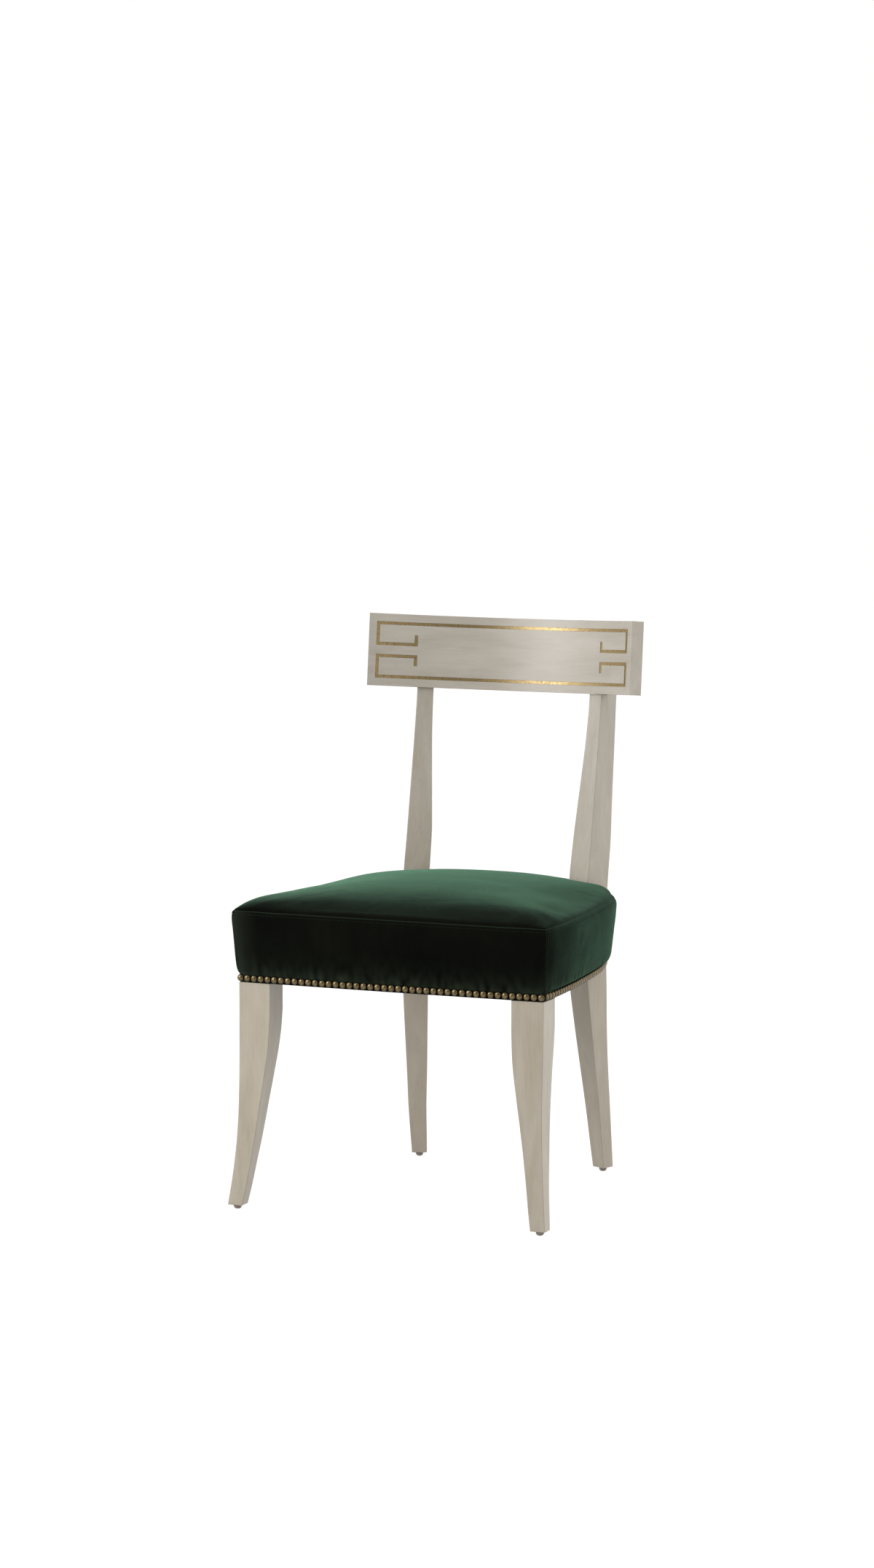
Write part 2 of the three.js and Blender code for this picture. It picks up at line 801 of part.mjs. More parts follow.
function leaned(geometry) {
  geometry.rotateX(-railLean);
  geometry.translate(0, railMiddleSetback, railBottomHeight);
  return geometry;
}

// Angles that every bent piece shares, so that the facets of touching pieces line up.
function railAngles(from, to, extra = []) {
  const even = Array.from({ length: railFacets + 1 }, (unused, step) => (
    THREE.MathUtils.lerp(-railEndAngle, railEndAngle, step / railFacets)));
  const least = railEndAngle / railFacets / 8;
  const inside = [...even, ...extra].filter((angle) => angle > from + least && angle < to - least);
  inside.sort((a, b) => a - b);
  const spaced = inside.filter((angle, at) => at === 0 || angle - inside[at - 1] > least);
  return [from, ...spaced, to];
}

function bentBar(section, angles) {
  const rings = angles.map((angle) => section.map(([depth, height]) => (
    railPoint(angle, depth, height))));
  return loft(rings);
}

function bentPlate(fromLength, toLength, fromDepth, toDepth, bottom, top) {
  const angles = railAngles(fromLength / railRadius, toLength / railRadius);
  return bentBar([
    [fromDepth, bottom], [toDepth, bottom], [toDepth, top], [fromDepth, top],
  ], angles);
}

function easedRailSection(inset) {
  const ease = railEase;
  const low = inset;
  const back = railThickness - inset;
  const top = railHeight - inset;
  return [
    [low + ease, low], [back - ease, low], [back, low + ease], [back, top - ease],
    [back - ease, top], [low + ease, top], [low, top - ease], [low, low + ease],
  ];
}

// The angle at which a sawn end, turned less than the curve there, meets a given depth.
function railEnd(depth) {
  const offset = railRadius * Math.sin(railEndAngle - railEndTurn);
  return railEndTurn + Math.asin(offset / (railRadius + depth));
}

function railBlank() {
  const inside = railAngles(-railEndAngle, railEndAngle).slice(1, -1);
  const ring = (angleAt, inset) => easedRailSection(inset).map(([depth, height]) => (
    railPoint(angleAt(depth), depth, height)));
  const end = (side, back) => (depth) => side * (railEnd(depth) - back / railRadius);
  return loft([
    ring(end(-1, 0), railEase),
    ring(end(-1, railEase), 0),
    ...inside.map((angle) => ring(() => angle, 0)),
    ring(end(1, railEase), 0),
    ring(end(1, 0), railEase),
  ]);
}

// The key line as flat pieces [from, to, bottom, top] on the rail's unrolled face.
function keyPieces(slack) {
  const end = railArcLength / 2 - keyMargin + slack;
  const hook = railArcLength / 2 - keyMargin - keyHookSpan - slack;
  const line = keyLineWidth + slack * 2;
  const top = railHeight - keyMargin + slack;
  const bottom = (railHeight + keyGap) / 2 - slack;
  const hookTop = bottom + slack + keyHookRise + slack;
  const pieces = [[-end, end, top - line, top]];
  for (const side of [1, -1]) {
    const span = (near, far) => (side > 0 ? [near, far] : [-far, -near]);
    pieces.push([...span(end - line, end), bottom, top]);
    pieces.push([...span(hook, end), bottom, bottom + line]);
    pieces.push([...span(hook, hook + line), bottom, hookTop]);
  }
  return pieces;
}

function keySolid(slack, fromDepth, toDepth, flipped) {
  const solids = keyPieces(slack).map(([from, to, bottom, top]) => {
    const low = flipped ? railHeight - top : bottom;
    const high = flipped ? railHeight - bottom : top;
    return solidOf(leaned(bentPlate(from, to, fromDepth, toDepth, low, high)));
  });
  return join(...solids);
}

function keyInlay(flipped) {
  const back = keyGrooveDepth - fitGap;
  return keySolid(-inlayFit, back - keyInlayThickness, back, flipped);
}

function backRail() {
  const grooves = [false, true].map((flipped) => (
    keySolid(0, -cutOverrun, keyGrooveDepth, flipped)));
  return cut(solidOf(leaned(railBlank())), ...grooves);
}

// The post is notched for the rail, which seats on the notch's shoulder and against its back.
function railNotch() {
  const angles = railAngles(-railEndAngle, railEndAngle);
  const section = [
    [-cutOverrun, -fitGap], [railThickness + fitGap, -fitGap],
    [railThickness + fitGap, railHeight + cutOverrun], [-cutOverrun, railHeight + cutOverrun],
  ];
  return solidOf(leaned(bentBar(section, angles)));
}

// Plugs lie square to the post's back face.
function plugPlace(dropShare) {
  const height = THREE.MathUtils.lerp(postTopHeight - postTopSlope, railBottomHeight, dropShare);
  const section = postSectionAt(height);
  return postPoint(section, section.width / 2, section.depth);
}

function plugCylinder(place, radius, from, to) {
  const rod = new THREE.CylinderGeometry(radius, radius, to - from, plugSides);
  rod.translate(0, (to + from) / 2, 0);
  rod.rotateX(-railLean);
  rod.rotateZ(-postTurn);
  rod.translate(place.x, place.y, place.z);
  return solidOf(rod);
}

function railPlug(dropShare) {
  return plugCylinder(plugPlace(dropShare), plugRadius, plugProud - plugLength, plugProud);
}

function rearLeg() {
  const plugHoles = plugDropShares.map((share) => plugCylinder(
    plugPlace(share), plugRadius + fitGap, -plugHoleDepth, cutOverrun,
  ));
  return cut(
    solidOf(rearLegBlank()),
    railNotch(),
    outerPostTenon(fitGap),
    innerPostTenon(fitGap),
    glideHole(rearGlideMiddle),
    ...plugHoles,
  );
}

// Cambric under the frame, tacked inside its edge and sagging a little
function dustCover() {
  const ring = (share, drop) => planStations.map((station) => {
    const edge = movedPoint(station, frameFace - dustCoverInset, 0);
    return new THREE.Vector3(
      THREE.MathUtils.lerp(crownCentre.x, edge.x, share),
      THREE.MathUtils.lerp(crownCentre.y, edge.y, share),
      frameBottomHeight - fitGap - drop,
    );
  });
  const under = dustCoverRingShares.map((share, at) => (
    ring(share, dustCoverThickness + dustCoverSag * dustCoverSagShares[at])));
  const over = dustCoverRingShares.map((share, at) => (
    ring(share, dustCoverSag * dustCoverSagShares[at])));
  const sheet = solidOf(loft([...under.reverse(), ...over]));
  const legGap = boxBetween(
    new THREE.Vector3(legInnerX - dustCoverLegGap, legFaceY - cutOverrun, 0),
    new THREE.Vector3(legFaceX + cutOverrun, legRearY + dustCoverLegGap, frameTopHeight),
  );
  const postGap = solidOf(rearLegBlank(dustCoverLegGap));
  return cut(sheet, ...bothSides(solidOf(legGap)), ...bothSides(postGap));
}

// Nails: domes that meet along a short flat, so that a row is one body. Beyond the ends of its edge
// a row runs straight on.
function nailRow(name, startMargin, endMargin) {
  const { curve } = seatEdges[name];
  const length = curve.getLength();
  const usable = length - startMargin - endMargin;
  const steps = Math.ceil(usable / nailPitch);
  const pitch = usable / steps;
  const pointAt = (distance, rise, out) => {
    const share = THREE.MathUtils.clamp(distance / length, 0, 1);
    const place = {
      point: curve.getPointAt(share),
      along: curve.getTangentAt(share),
      outward: outwardAt(curve, share),
    };
    return movedPoint(place, fitGap + out, nailLineHeight + rise, distance - share * length);
  };
  const points = [];
  const faces = [];
  for (let nail = 0; nail <= steps; nail += 1) {
    const middle = startMargin + pitch * nail;
    const ringAt = (scale, out) => nailOutline(pitch).map(([along, rise]) => (
      pointAt(middle + along * scale, rise * scale, out)));
    faces.push(...nailFaces(points.length, nail > 0, nail < steps));
    points.push(
      ...ringAt(1, 0),
      ...ringAt(1, nailRim),
      ...ringAt(nailShoulderShare, nailHeadHeight * nailShoulderRiseShare),
      pointAt(middle, 0, 0),
      pointAt(middle, 0, nailHeadHeight),
    );
  }
  return solidOf(geometryFrom(points, faces));
}

// Eight corners of a head, starting below the flat that meets the next nail
function nailOutline(pitch) {
  const side = pitch / 2;
  const reach = nailHeadWidth / 2;
  const flat = reach * Math.tan(Math.PI / 8);
  return [
    [side, -flat], [side, flat], [flat, reach], [-flat, reach],
    [-side, flat], [-side, -flat], [-flat, -reach], [flat, -reach],
  ];
}

function nailFaces(base, meetsLast, meetsNext) {
  const sides = 8;
  const backMiddle = base + sides * 3;
  const tip = backMiddle + 1;
  const faces = [];
  for (let step = 0; step < sides; step += 1) {
    const corner = (row) => base + sides * row + step;
    const next = (row) => base + sides * row + (step + 1) % sides;
    const shared = (step === 0 && meetsNext) || (step === sides / 2 && meetsLast);
    if (!shared) faces.push(corner(0), next(0), next(1), corner(0), next(1), corner(1));
    faces.push(corner(1), next(1), next(2), corner(1), next(2), corner(2));
    faces.push(next(0), corner(0), backMiddle, corner(2), next(2), tip);
  }
  return faces;
}

// The chair
const chair = new THREE.Group();

function add(name, solidOrGeometry, finish) {
  const geometry = solidOrGeometry.isBufferGeometry ? solidOrGeometry : geometryOf(solidOrGeometry);
  const mesh = new THREE.Mesh(geometry, new THREE.MeshStandardMaterial(finish));
  mesh.name = name;
  chair.add(mesh);
}

function addPair(name, rightSolid, finish) {
  const geometry = geometryOf(rightSolid);
  add(`${name}_right`, geometry, finish);
  add(`${name}_left`, mirrored(geometry), finish);
}

add('top_rail', backRail(), limedWood);
add('upper_key_inlay', keyInlay(false), goldLeaf);
add('lower_key_inlay', keyInlay(true), goldLeaf);
addPair('rear_leg', rearLeg(), limedWood);
addPair('front_leg', frontLeg(), limedWood);
addPair('upper_rail_plug', railPlug(plugDropShares[0]), limedWood);
addPair('lower_rail_plug', railPlug(plugDropShares[1]), limedWood);
add('front_seat_rail', frontRail(), plainWood);
addPair('side_seat_rail', sideRail(), plainWood);
add('rear_seat_rail', rearRail(), plainWood);
addPair('front_corner_block', cornerBlock(), plainWood);
add('seat_deck', seatDeck(), plainWood);
add('seat_foam', seatFoam(), foam);
for (const edge of ['front', 'right', 'left']) {
  add(`${edge}_edge_wadding`, edgeWadding(edge), foam);
}
add('cover_top_panel', topPanel(), velvet);
for (const edge of edgeOrder) add(`cover_${edge}_boxing`, coverBoxing(edge), velvet);
add('dust_cover', dustCover(), blackCloth);
add('front_nail_row', nailRow('front', frontNailMargin, frontNailMargin), agedBrass);
add('right_nail_row', nailRow('right', sideNailStart, sideNailEnd), agedBrass);
add('rear_nail_row', nailRow('rear', rearNailMargin, rearNailMargin), agedBrass);
add('left_nail_row', nailRow('left', sideNailEnd, sideNailStart), agedBrass);
addPair('front_glide', glide(frontGlideMiddle), glideNylon);
addPair('rear_glide', glide(rearGlideMiddle), glideNylon);

// The origin goes to the floor under the middle of the bounding box.
const bounds = new THREE.Box3().setFromObject(chair);
chair.position.set(0, -(bounds.min.y + bounds.max.y) / 2, -bounds.min.z);
chair.updateMatrixWorld(true);

export default chair;
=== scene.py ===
# Klismos dining chair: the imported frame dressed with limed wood, gilt lines, velvet and nails.
# Metres. X runs to the chair's right as seen from the front, Y from the front to the back, Z up.

import math
from collections import namedtuple
from contextlib import contextmanager

import bmesh
import bpy
import numpy
from bpy.props import FloatProperty, FloatVectorProperty, IntProperty, PointerProperty
from mathutils import Matrix, Vector, geometry, kdtree, noise


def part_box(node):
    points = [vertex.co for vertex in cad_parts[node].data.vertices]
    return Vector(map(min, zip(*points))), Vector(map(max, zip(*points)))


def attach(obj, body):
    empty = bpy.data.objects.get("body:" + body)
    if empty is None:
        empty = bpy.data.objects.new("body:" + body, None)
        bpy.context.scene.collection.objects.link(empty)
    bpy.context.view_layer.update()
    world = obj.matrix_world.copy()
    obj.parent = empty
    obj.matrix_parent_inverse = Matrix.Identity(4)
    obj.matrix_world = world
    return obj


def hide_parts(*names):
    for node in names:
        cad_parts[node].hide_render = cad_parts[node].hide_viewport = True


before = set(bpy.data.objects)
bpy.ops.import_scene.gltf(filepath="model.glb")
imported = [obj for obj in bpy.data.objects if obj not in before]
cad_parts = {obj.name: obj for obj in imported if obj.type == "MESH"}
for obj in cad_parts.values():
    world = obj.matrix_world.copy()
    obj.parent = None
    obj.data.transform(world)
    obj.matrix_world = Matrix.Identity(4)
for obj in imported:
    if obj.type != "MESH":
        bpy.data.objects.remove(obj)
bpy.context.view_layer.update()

bl_info = {
    "name": "Klismos Dining Chair",
    "version": (1, 0, 0),
    "blender": (4, 5, 0),
    "location": "3D View > Sidebar > Chair",
    "description": "Models and finishes a klismos dining chair over its packed frame",
    "category": "Add Mesh",
}

BODY = "root"

# Seat plan at the nailed edge, as shares of its length and of its narrowing towards the back
SEAT_WIDTH = 0.492
SEAT_FRONT_REACH = 0.230
SEAT_FRONT_BOW = 0.004
SEAT_REAR_BOW = 0.036
SIDE_DEPTH = (0, 0.12, 0.3, 0.5, 0.68, 0.82, 0.92, 1)
SIDE_INSET = (0, 0, 0.06, 0.175, 0.318, 0.535, 0.77, 1)
POST_COVER_INSET = 0.006

# Seat heights
HEM_HEIGHT = 0.3435
NAIL_LINE_HEIGHT = 0.350
FRAME_BOTTOM_HEIGHT = 0.345
FRAME_TOP_HEIGHT = 0.406
DECK_TOP_HEIGHT = 0.4183
SEAM_HEIGHT = 0.452
PANEL_TOP_RISE = 0.0019

# Boxing, as shares of its fullness and of its height above the nails
TAUT_SHARE = 0.51
REAR_FULLNESS = 0.3
SIDE_PLACES = (0, 0.22, 0.82, 0.91, 1)
SIDE_FULLNESS = (TAUT_SHARE, 1, 1, 0.5, 0)
BOXING_RISE = (0, 0.04, 0.13, 0.3, 0.5, 0.7, 0.86, 0.95, 1)
TAUT_OUT = (0, 0.22, 0.4, 0.6, 0.77, 0.91, 1, 0.95, 0.74)
LOOSE_OUT = (0, 0.48, 0.65, 0.78, 0.9, 1.03, 1.07, 0.88, 0.52)
CLOTH_THICKNESS = 0.0016
CLOTH_FIT = 0.0003
NAIL_HEAD = 0.011
PINCH_HEIGHT = NAIL_LINE_HEIGHT + NAIL_HEAD / 2 + CLOTH_FIT
MITRE_REACH = 0.024

# Crown, whose fall steepens by the direction faced, from the front at -1 to the rear at 1
CROWN_CENTRE = Vector((0, -0.010))
CROWN_FACING = (-1, -0.5, -0.1, 0.5, 1)
CROWN_FALL = (0.54, 0.62, 0.74, 0.58, 0.60)
FULL_CORNER = Vector((SEAT_WIDTH / 2 - 0.012, -SEAT_FRONT_REACH + 0.026))
FULL_CORNER_SWELL = 0.0066
FULL_CORNER_REACH = 0.042
PANEL_BLUR = math.radians(26)

# Cover relief, each as its depth and then how far it reaches
STITCHED_GROOVE = (0.0009, 0.0007)
BAND_RISE = 0.0005
CORNER_GROOVE = (0.0006, 0.0009)
CORNER_LIP = (0.00015, 0.0012)
CORNER_LIP_PLACE = 0.0022
NAIL_GATHER = (0.0012, 0.011)
PANEL_GROOVE = (0.0012, 0.0012)
PANEL_PUCKER = (0.0004, 0.012)
CORNER_GATHER = (0.0009, 0.010)
BOXING_POST_TUCK = (0.0018, 0.012)
PANEL_POST_TUCK = (0.0030, 0.016)
BOXING_WAVE = 0.0007
PANEL_WAVE = 0.0010
STITCH_PITCH = 0.0052

# Front legs, as shares of their splay and taper from the knee to the foot
FRONT_LEG_SIZE = (0.051, 0.046)
FRONT_FOOT_SIZE = (0.0237, 0.021)
FRONT_LEG_SPLAY = (0.0112, 0.020)
KNEE_HEIGHT = 0.300
FRONT_DROP = (1, 0.92, 0.8, 0.65, 0.5, 0.35, 0.2, 0.1, 0)
FRONT_OUT = (1, 0.76, 0.44, 0.15, -0.01, -0.06, -0.05, -0.02, 0)
FRONT_FORE = (1, 0.81, 0.57, 0.36, 0.24, 0.155, 0.085, 0.04, 0)
FRONT_WIDTH = (1, 0.945, 0.885, 0.77, 0.6, 0.37, 0.14, 0.045, 0)
FRONT_DEPTH = (1, 0.95, 0.87, 0.68, 0.54, 0.4, 0.23, 0.09, 0)

# Rear legs and posts
POST_TURN = math.radians(22.4)
POST_SPAN = 0.311
POST_SETBACK = 0.172
WAIST_HEIGHT = 0.372
POST_SWEEP = 0.0603
NECK_HEIGHT = 0.740
POST_TOP_HEIGHT = 0.846
POST_TOP_SLOPE = 0.007
REAR_LEG_SWEEP = 0.0585
REAR_LEG_SPLAY = 0.0084
POST_SEAT_SIZE = (0.0415, 0.046)
REAR_FOOT_SIZE = (0.0239, 0.0216)
POST_RAIL_SIZE = (0.0257, 0.035)
REAR_DROP = (1, 0.92, 0.8, 0.65, 0.5, 0.35, 0.2, 0.08, 0)
REAR_SWEEP = (1, 0.9, 0.755, 0.595, 0.42, 0.25, 0.1, 0.02, 0)
REAR_OUT = (1, 0.98, 0.94, 0.75, 0.55, 0.36, 0.17, 0.05, 0)
REAR_WIDTH = (1, 0.89, 0.75, 0.57, 0.39, 0.22, 0.08, 0.02, 0)
REAR_DEPTH = (1, 0.95, 0.88, 0.76, 0.6, 0.38, 0.14, 0.03, 0)
POST_RISE = (0, 0.12, 0.26, 0.4, 0.55, 0.7, 0.85, 1)
POST_BACK = (0, 0.01, 0.125, 0.31, 0.49, 0.67, 0.845, 1)
POST_WIDTH = (0, 0.02, 0.05, 0.13, 0.37, 0.64, 0.88, 1)
POST_DEPTH = (0, 0, 0.02, 0.08, 0.35, 0.61, 0.82, 1)

# Back rail, bowed about an upright axis in front of it and leaned back
RAIL_RADIUS = 0.368
RAIL_LENGTH = 0.4734
RAIL_HEIGHT = 0.1138
RAIL_THICKNESS = 0.0245
RAIL_END_TURN = math.radians(23.5)
RAIL_LEAN = math.radians(6.07)
RAIL_BOTTOM = 0.749
RAIL_SETBACK = 0.2579
RAIL_REACH = RAIL_LENGTH / RAIL_RADIUS / 2
RAIL_SPARE = 0.004

# Key pattern
KEY_MARGIN = 0.0124
KEY_GAP = 0.014
KEY_HOOK_SPAN = 0.0657
KEY_HOOK_RISE = 0.0172
KEY_GROOVE = 0.0018
KEY_FIT = 0.0002
KEY_FACE_DEPTH = 0.0006
KEY_BACK_DEPTH = 0.0015
KEY_MERGE = 0.00002

# Feet, plugs and nails
GLIDE_HEIGHT = 0.0061
GLIDE_RADIUS = 0.0062
GLIDE_FOOT_RADIUS = 0.0034
GLIDE_STEM_RADIUS = 0.0022
GLIDE_TOP = 0.0175
FOOT_FIT = 0.0003
PLUG_RADIUS = 0.005
PLUG_LENGTH = 0.006
PLUG_PROUD = 0.0004
PLUG_DROPS = (0.24, 0.62)
PLUG_FIT = 0.00015
FRONT_NAIL_MARGIN = 0.0031
SIDE_NAIL_START = 0.011
SIDE_NAIL_END = 0.017
REAR_NAIL_MARGIN = 0.046
NAIL_SKIRT = 0.0006
NAIL_WANDER = 0.00022
NAIL_TIP = 0.07

# Dust cover
DUST_INSET = 0.0139
DUST_GAP = 0.0012
DUST_CELL = 0.010
DUST_SAG = 0.0042
DUST_THICKNESS = 0.0004

# Stage. A lamp has its place, width and power setting
CAMERA_PLACE = (2.6532, -6.2344, 1.3914)
CAMERA_TURN = (math.radians(83.58), 0, math.radians(23.22))
CAMERA_LENS = 103.11
LAMPS = {
    "key_lamp": ((-2.2, -2.5, 1.5), 1.5, "key_power"),
    "fill_lamp": ((3.1, 0.5, 1.4), 1.8, "fill_power"),
    "rear_lamp": ((0.3, 2.6, 2.4), 1.6, "rim_power"),
}

LAMP_AIM = (0, 0, 0.45)
FLOOR_SIZE = 24
FLOOR_BOUNCE = 0.55
FLOOR_SHADE = 0.26
FLOOR_GLOW = 0.87

CUT_OVERRUN = 0.006
SMALL = 1e-6

FRONT_GLIDE = (
    SEAT_WIDTH / 2 + FRONT_LEG_SPLAY[0] - FRONT_FOOT_SIZE[0] / 2,
    -SEAT_FRONT_REACH - FRONT_LEG_SPLAY[1] + FRONT_FOOT_SIZE[1] / 2,
)


def node_middle(name):
    low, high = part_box(name)
    return (Vector(low) + Vector(high)) / 2


# The tables above count Y from the seat's own zero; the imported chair's origin lies behind it.
ZERO_Y = node_middle("front_glide_right").y - FRONT_GLIDE[1]


def linear(text):
    """A colour written as six hex digits, as the scene-linear numbers of a shader."""
    channels = [int(text[at:at + 2], 16) / 255 for at in (0, 2, 4)]
    return tuple(c / 12.92 if c <= 0.04045 else ((c + 0.055) / 1.055) ** 2.4 for c in channels)


def length_property(name, description, default):
    return FloatProperty(name=name, description=description, default=default, min=0,
                         precision=4, subtype="DISTANCE", unit="LENGTH")


def colour_property(name, description, default):
    return FloatVectorProperty(name=name, description=description, default=linear(default),
                               size=3, min=0, max=1, subtype="COLOR")


def power_property(name, description, default):
    return FloatProperty(name=name, description=description, default=default, min=0, unit="POWER")


def level_property(name, description, default):
    return FloatProperty(name=name, description=description, default=default, min=0, max=2)


class ChairWoodSettings(bpy.types.PropertyGroup):
    edge_ease: length_property("Edge Ease", "Rounding of the wood's long edges", 0.0012)
    rail_ease: length_property("Rail Ease", "Rounding of the back rail's edges", 0.0018)
    pale: colour_property("Pale Wood", "Lime rubbed into the open grain", "CFC9BD")
    body: colour_property("Wood", "The limed wood between its pores", "BBB3A6")
    shade: colour_property("Dark Wood", "The darker figure of the wood", "A69C8A")
    # A darker, warmer tint multiplied into the wood towards the feet.
    darker_tone: colour_property("Worn Tone", "Tint of the lime wash towards the feet", "F7F3EA")
    frame_wood: colour_property("Frame Wood", "Plain wood inside the seat", "C2A57C")


class ChairKeySettings(bpy.types.PropertyGroup):
    line_width: length_property("Line Width", "Width of the gilded key line", 0.005)
    gold: colour_property("Gold Leaf", "Burnished gold leaf", "9E8A62")
    darker_tone: colour_property("Worn Gold", "Bole showing through the leaf", "624D30")


class ChairSeatSettings(bpy.types.PropertyGroup):
    crown_height: length_property("Crown", "Height of the seat's crown above its seam", 0.032)
    fullness: length_property("Fullness", "Swell of the boxing beyond the frame", 0.0167)
    band_width: length_property("Seam Band", "From the seam down to its second stitching", 0.0048)
    corner_radius: length_property("Corner Radius", "Corners of the cover", 0.004)
    corner_push: length_property("Corner Fullness", "Swell of the front corners", 0.0006)
    cloth_rise: length_property("Cloth Rise", "How far the padding lifts the cloth", 0.003)
    cloth_cell: length_property("Cloth Cell", "Fineness of the cloth while it is formed", 0.008)
    velvet: colour_property("Velvet", "Pile seen from straight above", "0A0B07")
    # Painted light: a paler base laid over the velvet where its painted light is strongest, towards
    # the left of the seat.
    painted_glow: colour_property("Velvet Haze", "Pile that stands towards the light", "2C322B")
    # Thread colour for the dashed stitches, and painted highlight on the seam lines, the corner
    # seams and the gathers above the nails.
    thread_and_highlight: colour_property("Thread", "Pile parted along the sewn lines", "3E4A3B")
    velvet_sheen: colour_property("Velvet Sheen", "Light caught by the tips of the pile", "88C4A0")


class ChairTrimSettings(bpy.types.PropertyGroup):
    nail_width: length_property("Nail Head", "Width of a nail's head", NAIL_HEAD)
    nail_height: length_property("Nail Height", "Height of a nail's dome", 0.0034)
    nail_pitch: length_property("Nail Pitch", "From one nail to the next", 0.0113)
    nail_segments: IntProperty(name="Nail Segments", description="Sides of a nail's dome",
                               default=12, min=8, max=24)
    brass: colour_property("Aged Brass", "Brass of the nail heads", "7B6C4E")
    # Also painted shade: the same colour darkens the rim of every nail head.
    tarnish_and_shade: colour_property("Tarnish", "Dark lacquer left on the brass", "352B1B")
    glide: colour_property("Glides", "Nylon of the glides", "A39A90")
    cambric: colour_property("Dust Cover", "Black cloth under the seat", "141416")


class ChairStageSettings(bpy.types.PropertyGroup):
    floor: colour_property("Floor", "Pale studio floor", "F4F3F1")
    key_power: power_property("Key Lamp", "Power of the large soft lamp", 52)
    fill_power: power_property("Fill Lamp", "Power of the lamp at the right", 14)
    rim_power: power_property("Rear Lamp", "Power of the lamp behind the chair", 20)
    room_light: level_property("Room Light", "Level of the room behind the chair", 1.05)
    room_dark: level_property("Room Dark", "Level of the room before the chair", 0.56)
    room_mirrored: level_property("Room Mirrored", "The room's dark end in polished surfaces", 0.15)


# Working helpers

def only(piece):
    """Select one object and make it active."""
    if bpy.context.mode != "OBJECT":
        bpy.ops.object.mode_set(mode="OBJECT")
    bpy.ops.object.select_all(action="DESELECT")
    piece.select_set(True)
    bpy.context.view_layer.objects.active = piece


def named(name):
    """The object just added, under a name of its own."""
    piece = bpy.context.object
    piece.name = piece.data.name = name
    return piece


@contextmanager
def editing(piece):
    only(piece)
    bpy.ops.object.mode_set(mode="EDIT")
    try:
        yield
    finally:
        bpy.ops.object.mode_set(mode="OBJECT")


def pick(kind, test):
    """In edit mode, select just the vertices, edges or faces that pass the test."""
    bpy.ops.mesh.select_mode(type=kind)
    bpy.ops.mesh.select_all(action="DESELECT")
    mesh = bpy.context.edit_object.data
    parts = bmesh.from_edit_mesh(mesh)
    for part in {"VERT": parts.verts, "EDGE": parts.edges, "FACE": parts.faces}[kind]:
        if test(part):
            part.select_set(True)
    parts.select_flush_mode()
    bmesh.update_edit_mesh(mesh)


def pick_all(kind="FACE"):
    bpy.ops.mesh.select_mode(type=kind)
    bpy.ops.mesh.select_all(action="SELECT")


def close_and_turn_out():
    """In edit mode, merge doubled points and turn every face outward."""
    pick_all("VERT")
    bpy.ops.mesh.remove_doubles(threshold=SMALL)
    bpy.ops.mesh.normals_make_consistent(inside=False)


def extrude(step):
    bpy.ops.mesh.extrude_region_move(TRANSFORM_OT_translate={"value": tuple(step)})


def resize(scale, about):
    bpy.ops.transform.resize(value=tuple(scale), center_override=tuple(about))


def placed(piece, matrix):
    """Move a piece and write its place into its mesh."""
    only(piece)
    piece.matrix_world = matrix
    bpy.ops.object.transform_apply(location=True, rotation=True, scale=True)
    return piece


def twin(piece, name):
    copy = piece.copy()
    copy.data = piece.data.copy()
    copy.name = copy.data.name = name
    bpy.context.scene.collection.objects.link(copy)
    return copy


def mirrored_twin(piece, name):
    copy = placed(twin(piece, name), Matrix.Diagonal((-1, 1, 1, 1)))
    with editing(copy):
        close_and_turn_out()
    return copy


def finish_modifier(piece, kind, **settings):
    only(piece)
    bpy.ops.object.modifier_add(type=kind)
    step = piece.modifiers[-1]
    for key, value in settings.items():
        setattr(step, key, value)
    bpy.ops.object.modifier_apply(modifier=step.name)


def carve(piece, cutter, way="DIFFERENCE"):
    finish_modifier(piece, "BOOLEAN", operation=way, solver="MANIFOLD", object=cutter)


def discard(*pieces):
    for piece in pieces:
        bpy.data.objects.remove(piece)


def smooth(piece, degrees=35, weighted=True):
    only(piece)
    bpy.ops.object.shade_smooth_by_angle(angle=math.radians(degrees))
    if weighted:
        finish_modifier(piece, "WEIGHTED_NORMAL", keep_sharp=True)


def ease_edges(width, segments=3, sharpness=30):
    """In edit mode, round every sharp edge and mark the narrow faces that this makes."""
    bpy.ops.mesh.select_mode(type="EDGE")
    bpy.ops.mesh.select_all(action="DESELECT")
    bpy.ops.mesh.edges_select_sharp(sharpness=math.radians(sharpness))
    bpy.ops.mesh.bevel(offset=width, segments=segments, profile=0.5, affect="EDGES",
                       clamp_overlap=True)
    mesh = bpy.context.edit_object.data
    parts = bmesh.from_edit_mesh(mesh)
    layer = parts.loops.layers.float.get("eased") or parts.loops.layers.float.new("eased")
    for face in parts.faces:
        if face.select:
            for corner in face.loops:
                corner[layer] = 1.0
    bmesh.update_edit_mesh(mesh)


def finish_pair(scene, piece, node, shift=0):
    """Mirror a wooden piece of the right side and finish both; shift gives the twin other grain."""
    move_to_frame(piece)
    other = mirrored_twin(piece, piece.name.replace("right", "left"))
    for spot in other.data.attributes["grain"].data:
        spot.vector = Vector(spot.vector) + shift * Vector((1.7, 0.9, 0.4))
    for each, side in ((piece, "right"), (other, "left")):
        smooth(each)
        dress(each, limed_wood(scene), "limed_wood", f"{node}_{side}")


def lay_grain(piece, along):
    """Give every point its place in the plank: first along the grain, then across it twice."""
    layer = piece.data.attributes.new("grain", "FLOAT_VECTOR", "POINT")
    for vertex in piece.data.vertices:
        layer.data[vertex.index].vector = along(vertex.co)


def dress(piece, material, slot, *nodes):
    """Finish a piece: its material, its body and the nodes that it stands for. The slot is not
    used.
    """
    piece.data.materials.clear()
    piece.data.materials.append(material)
    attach(piece, BODY)
    if nodes:
        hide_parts(*nodes)
    piece.select_set(False)
    return piece


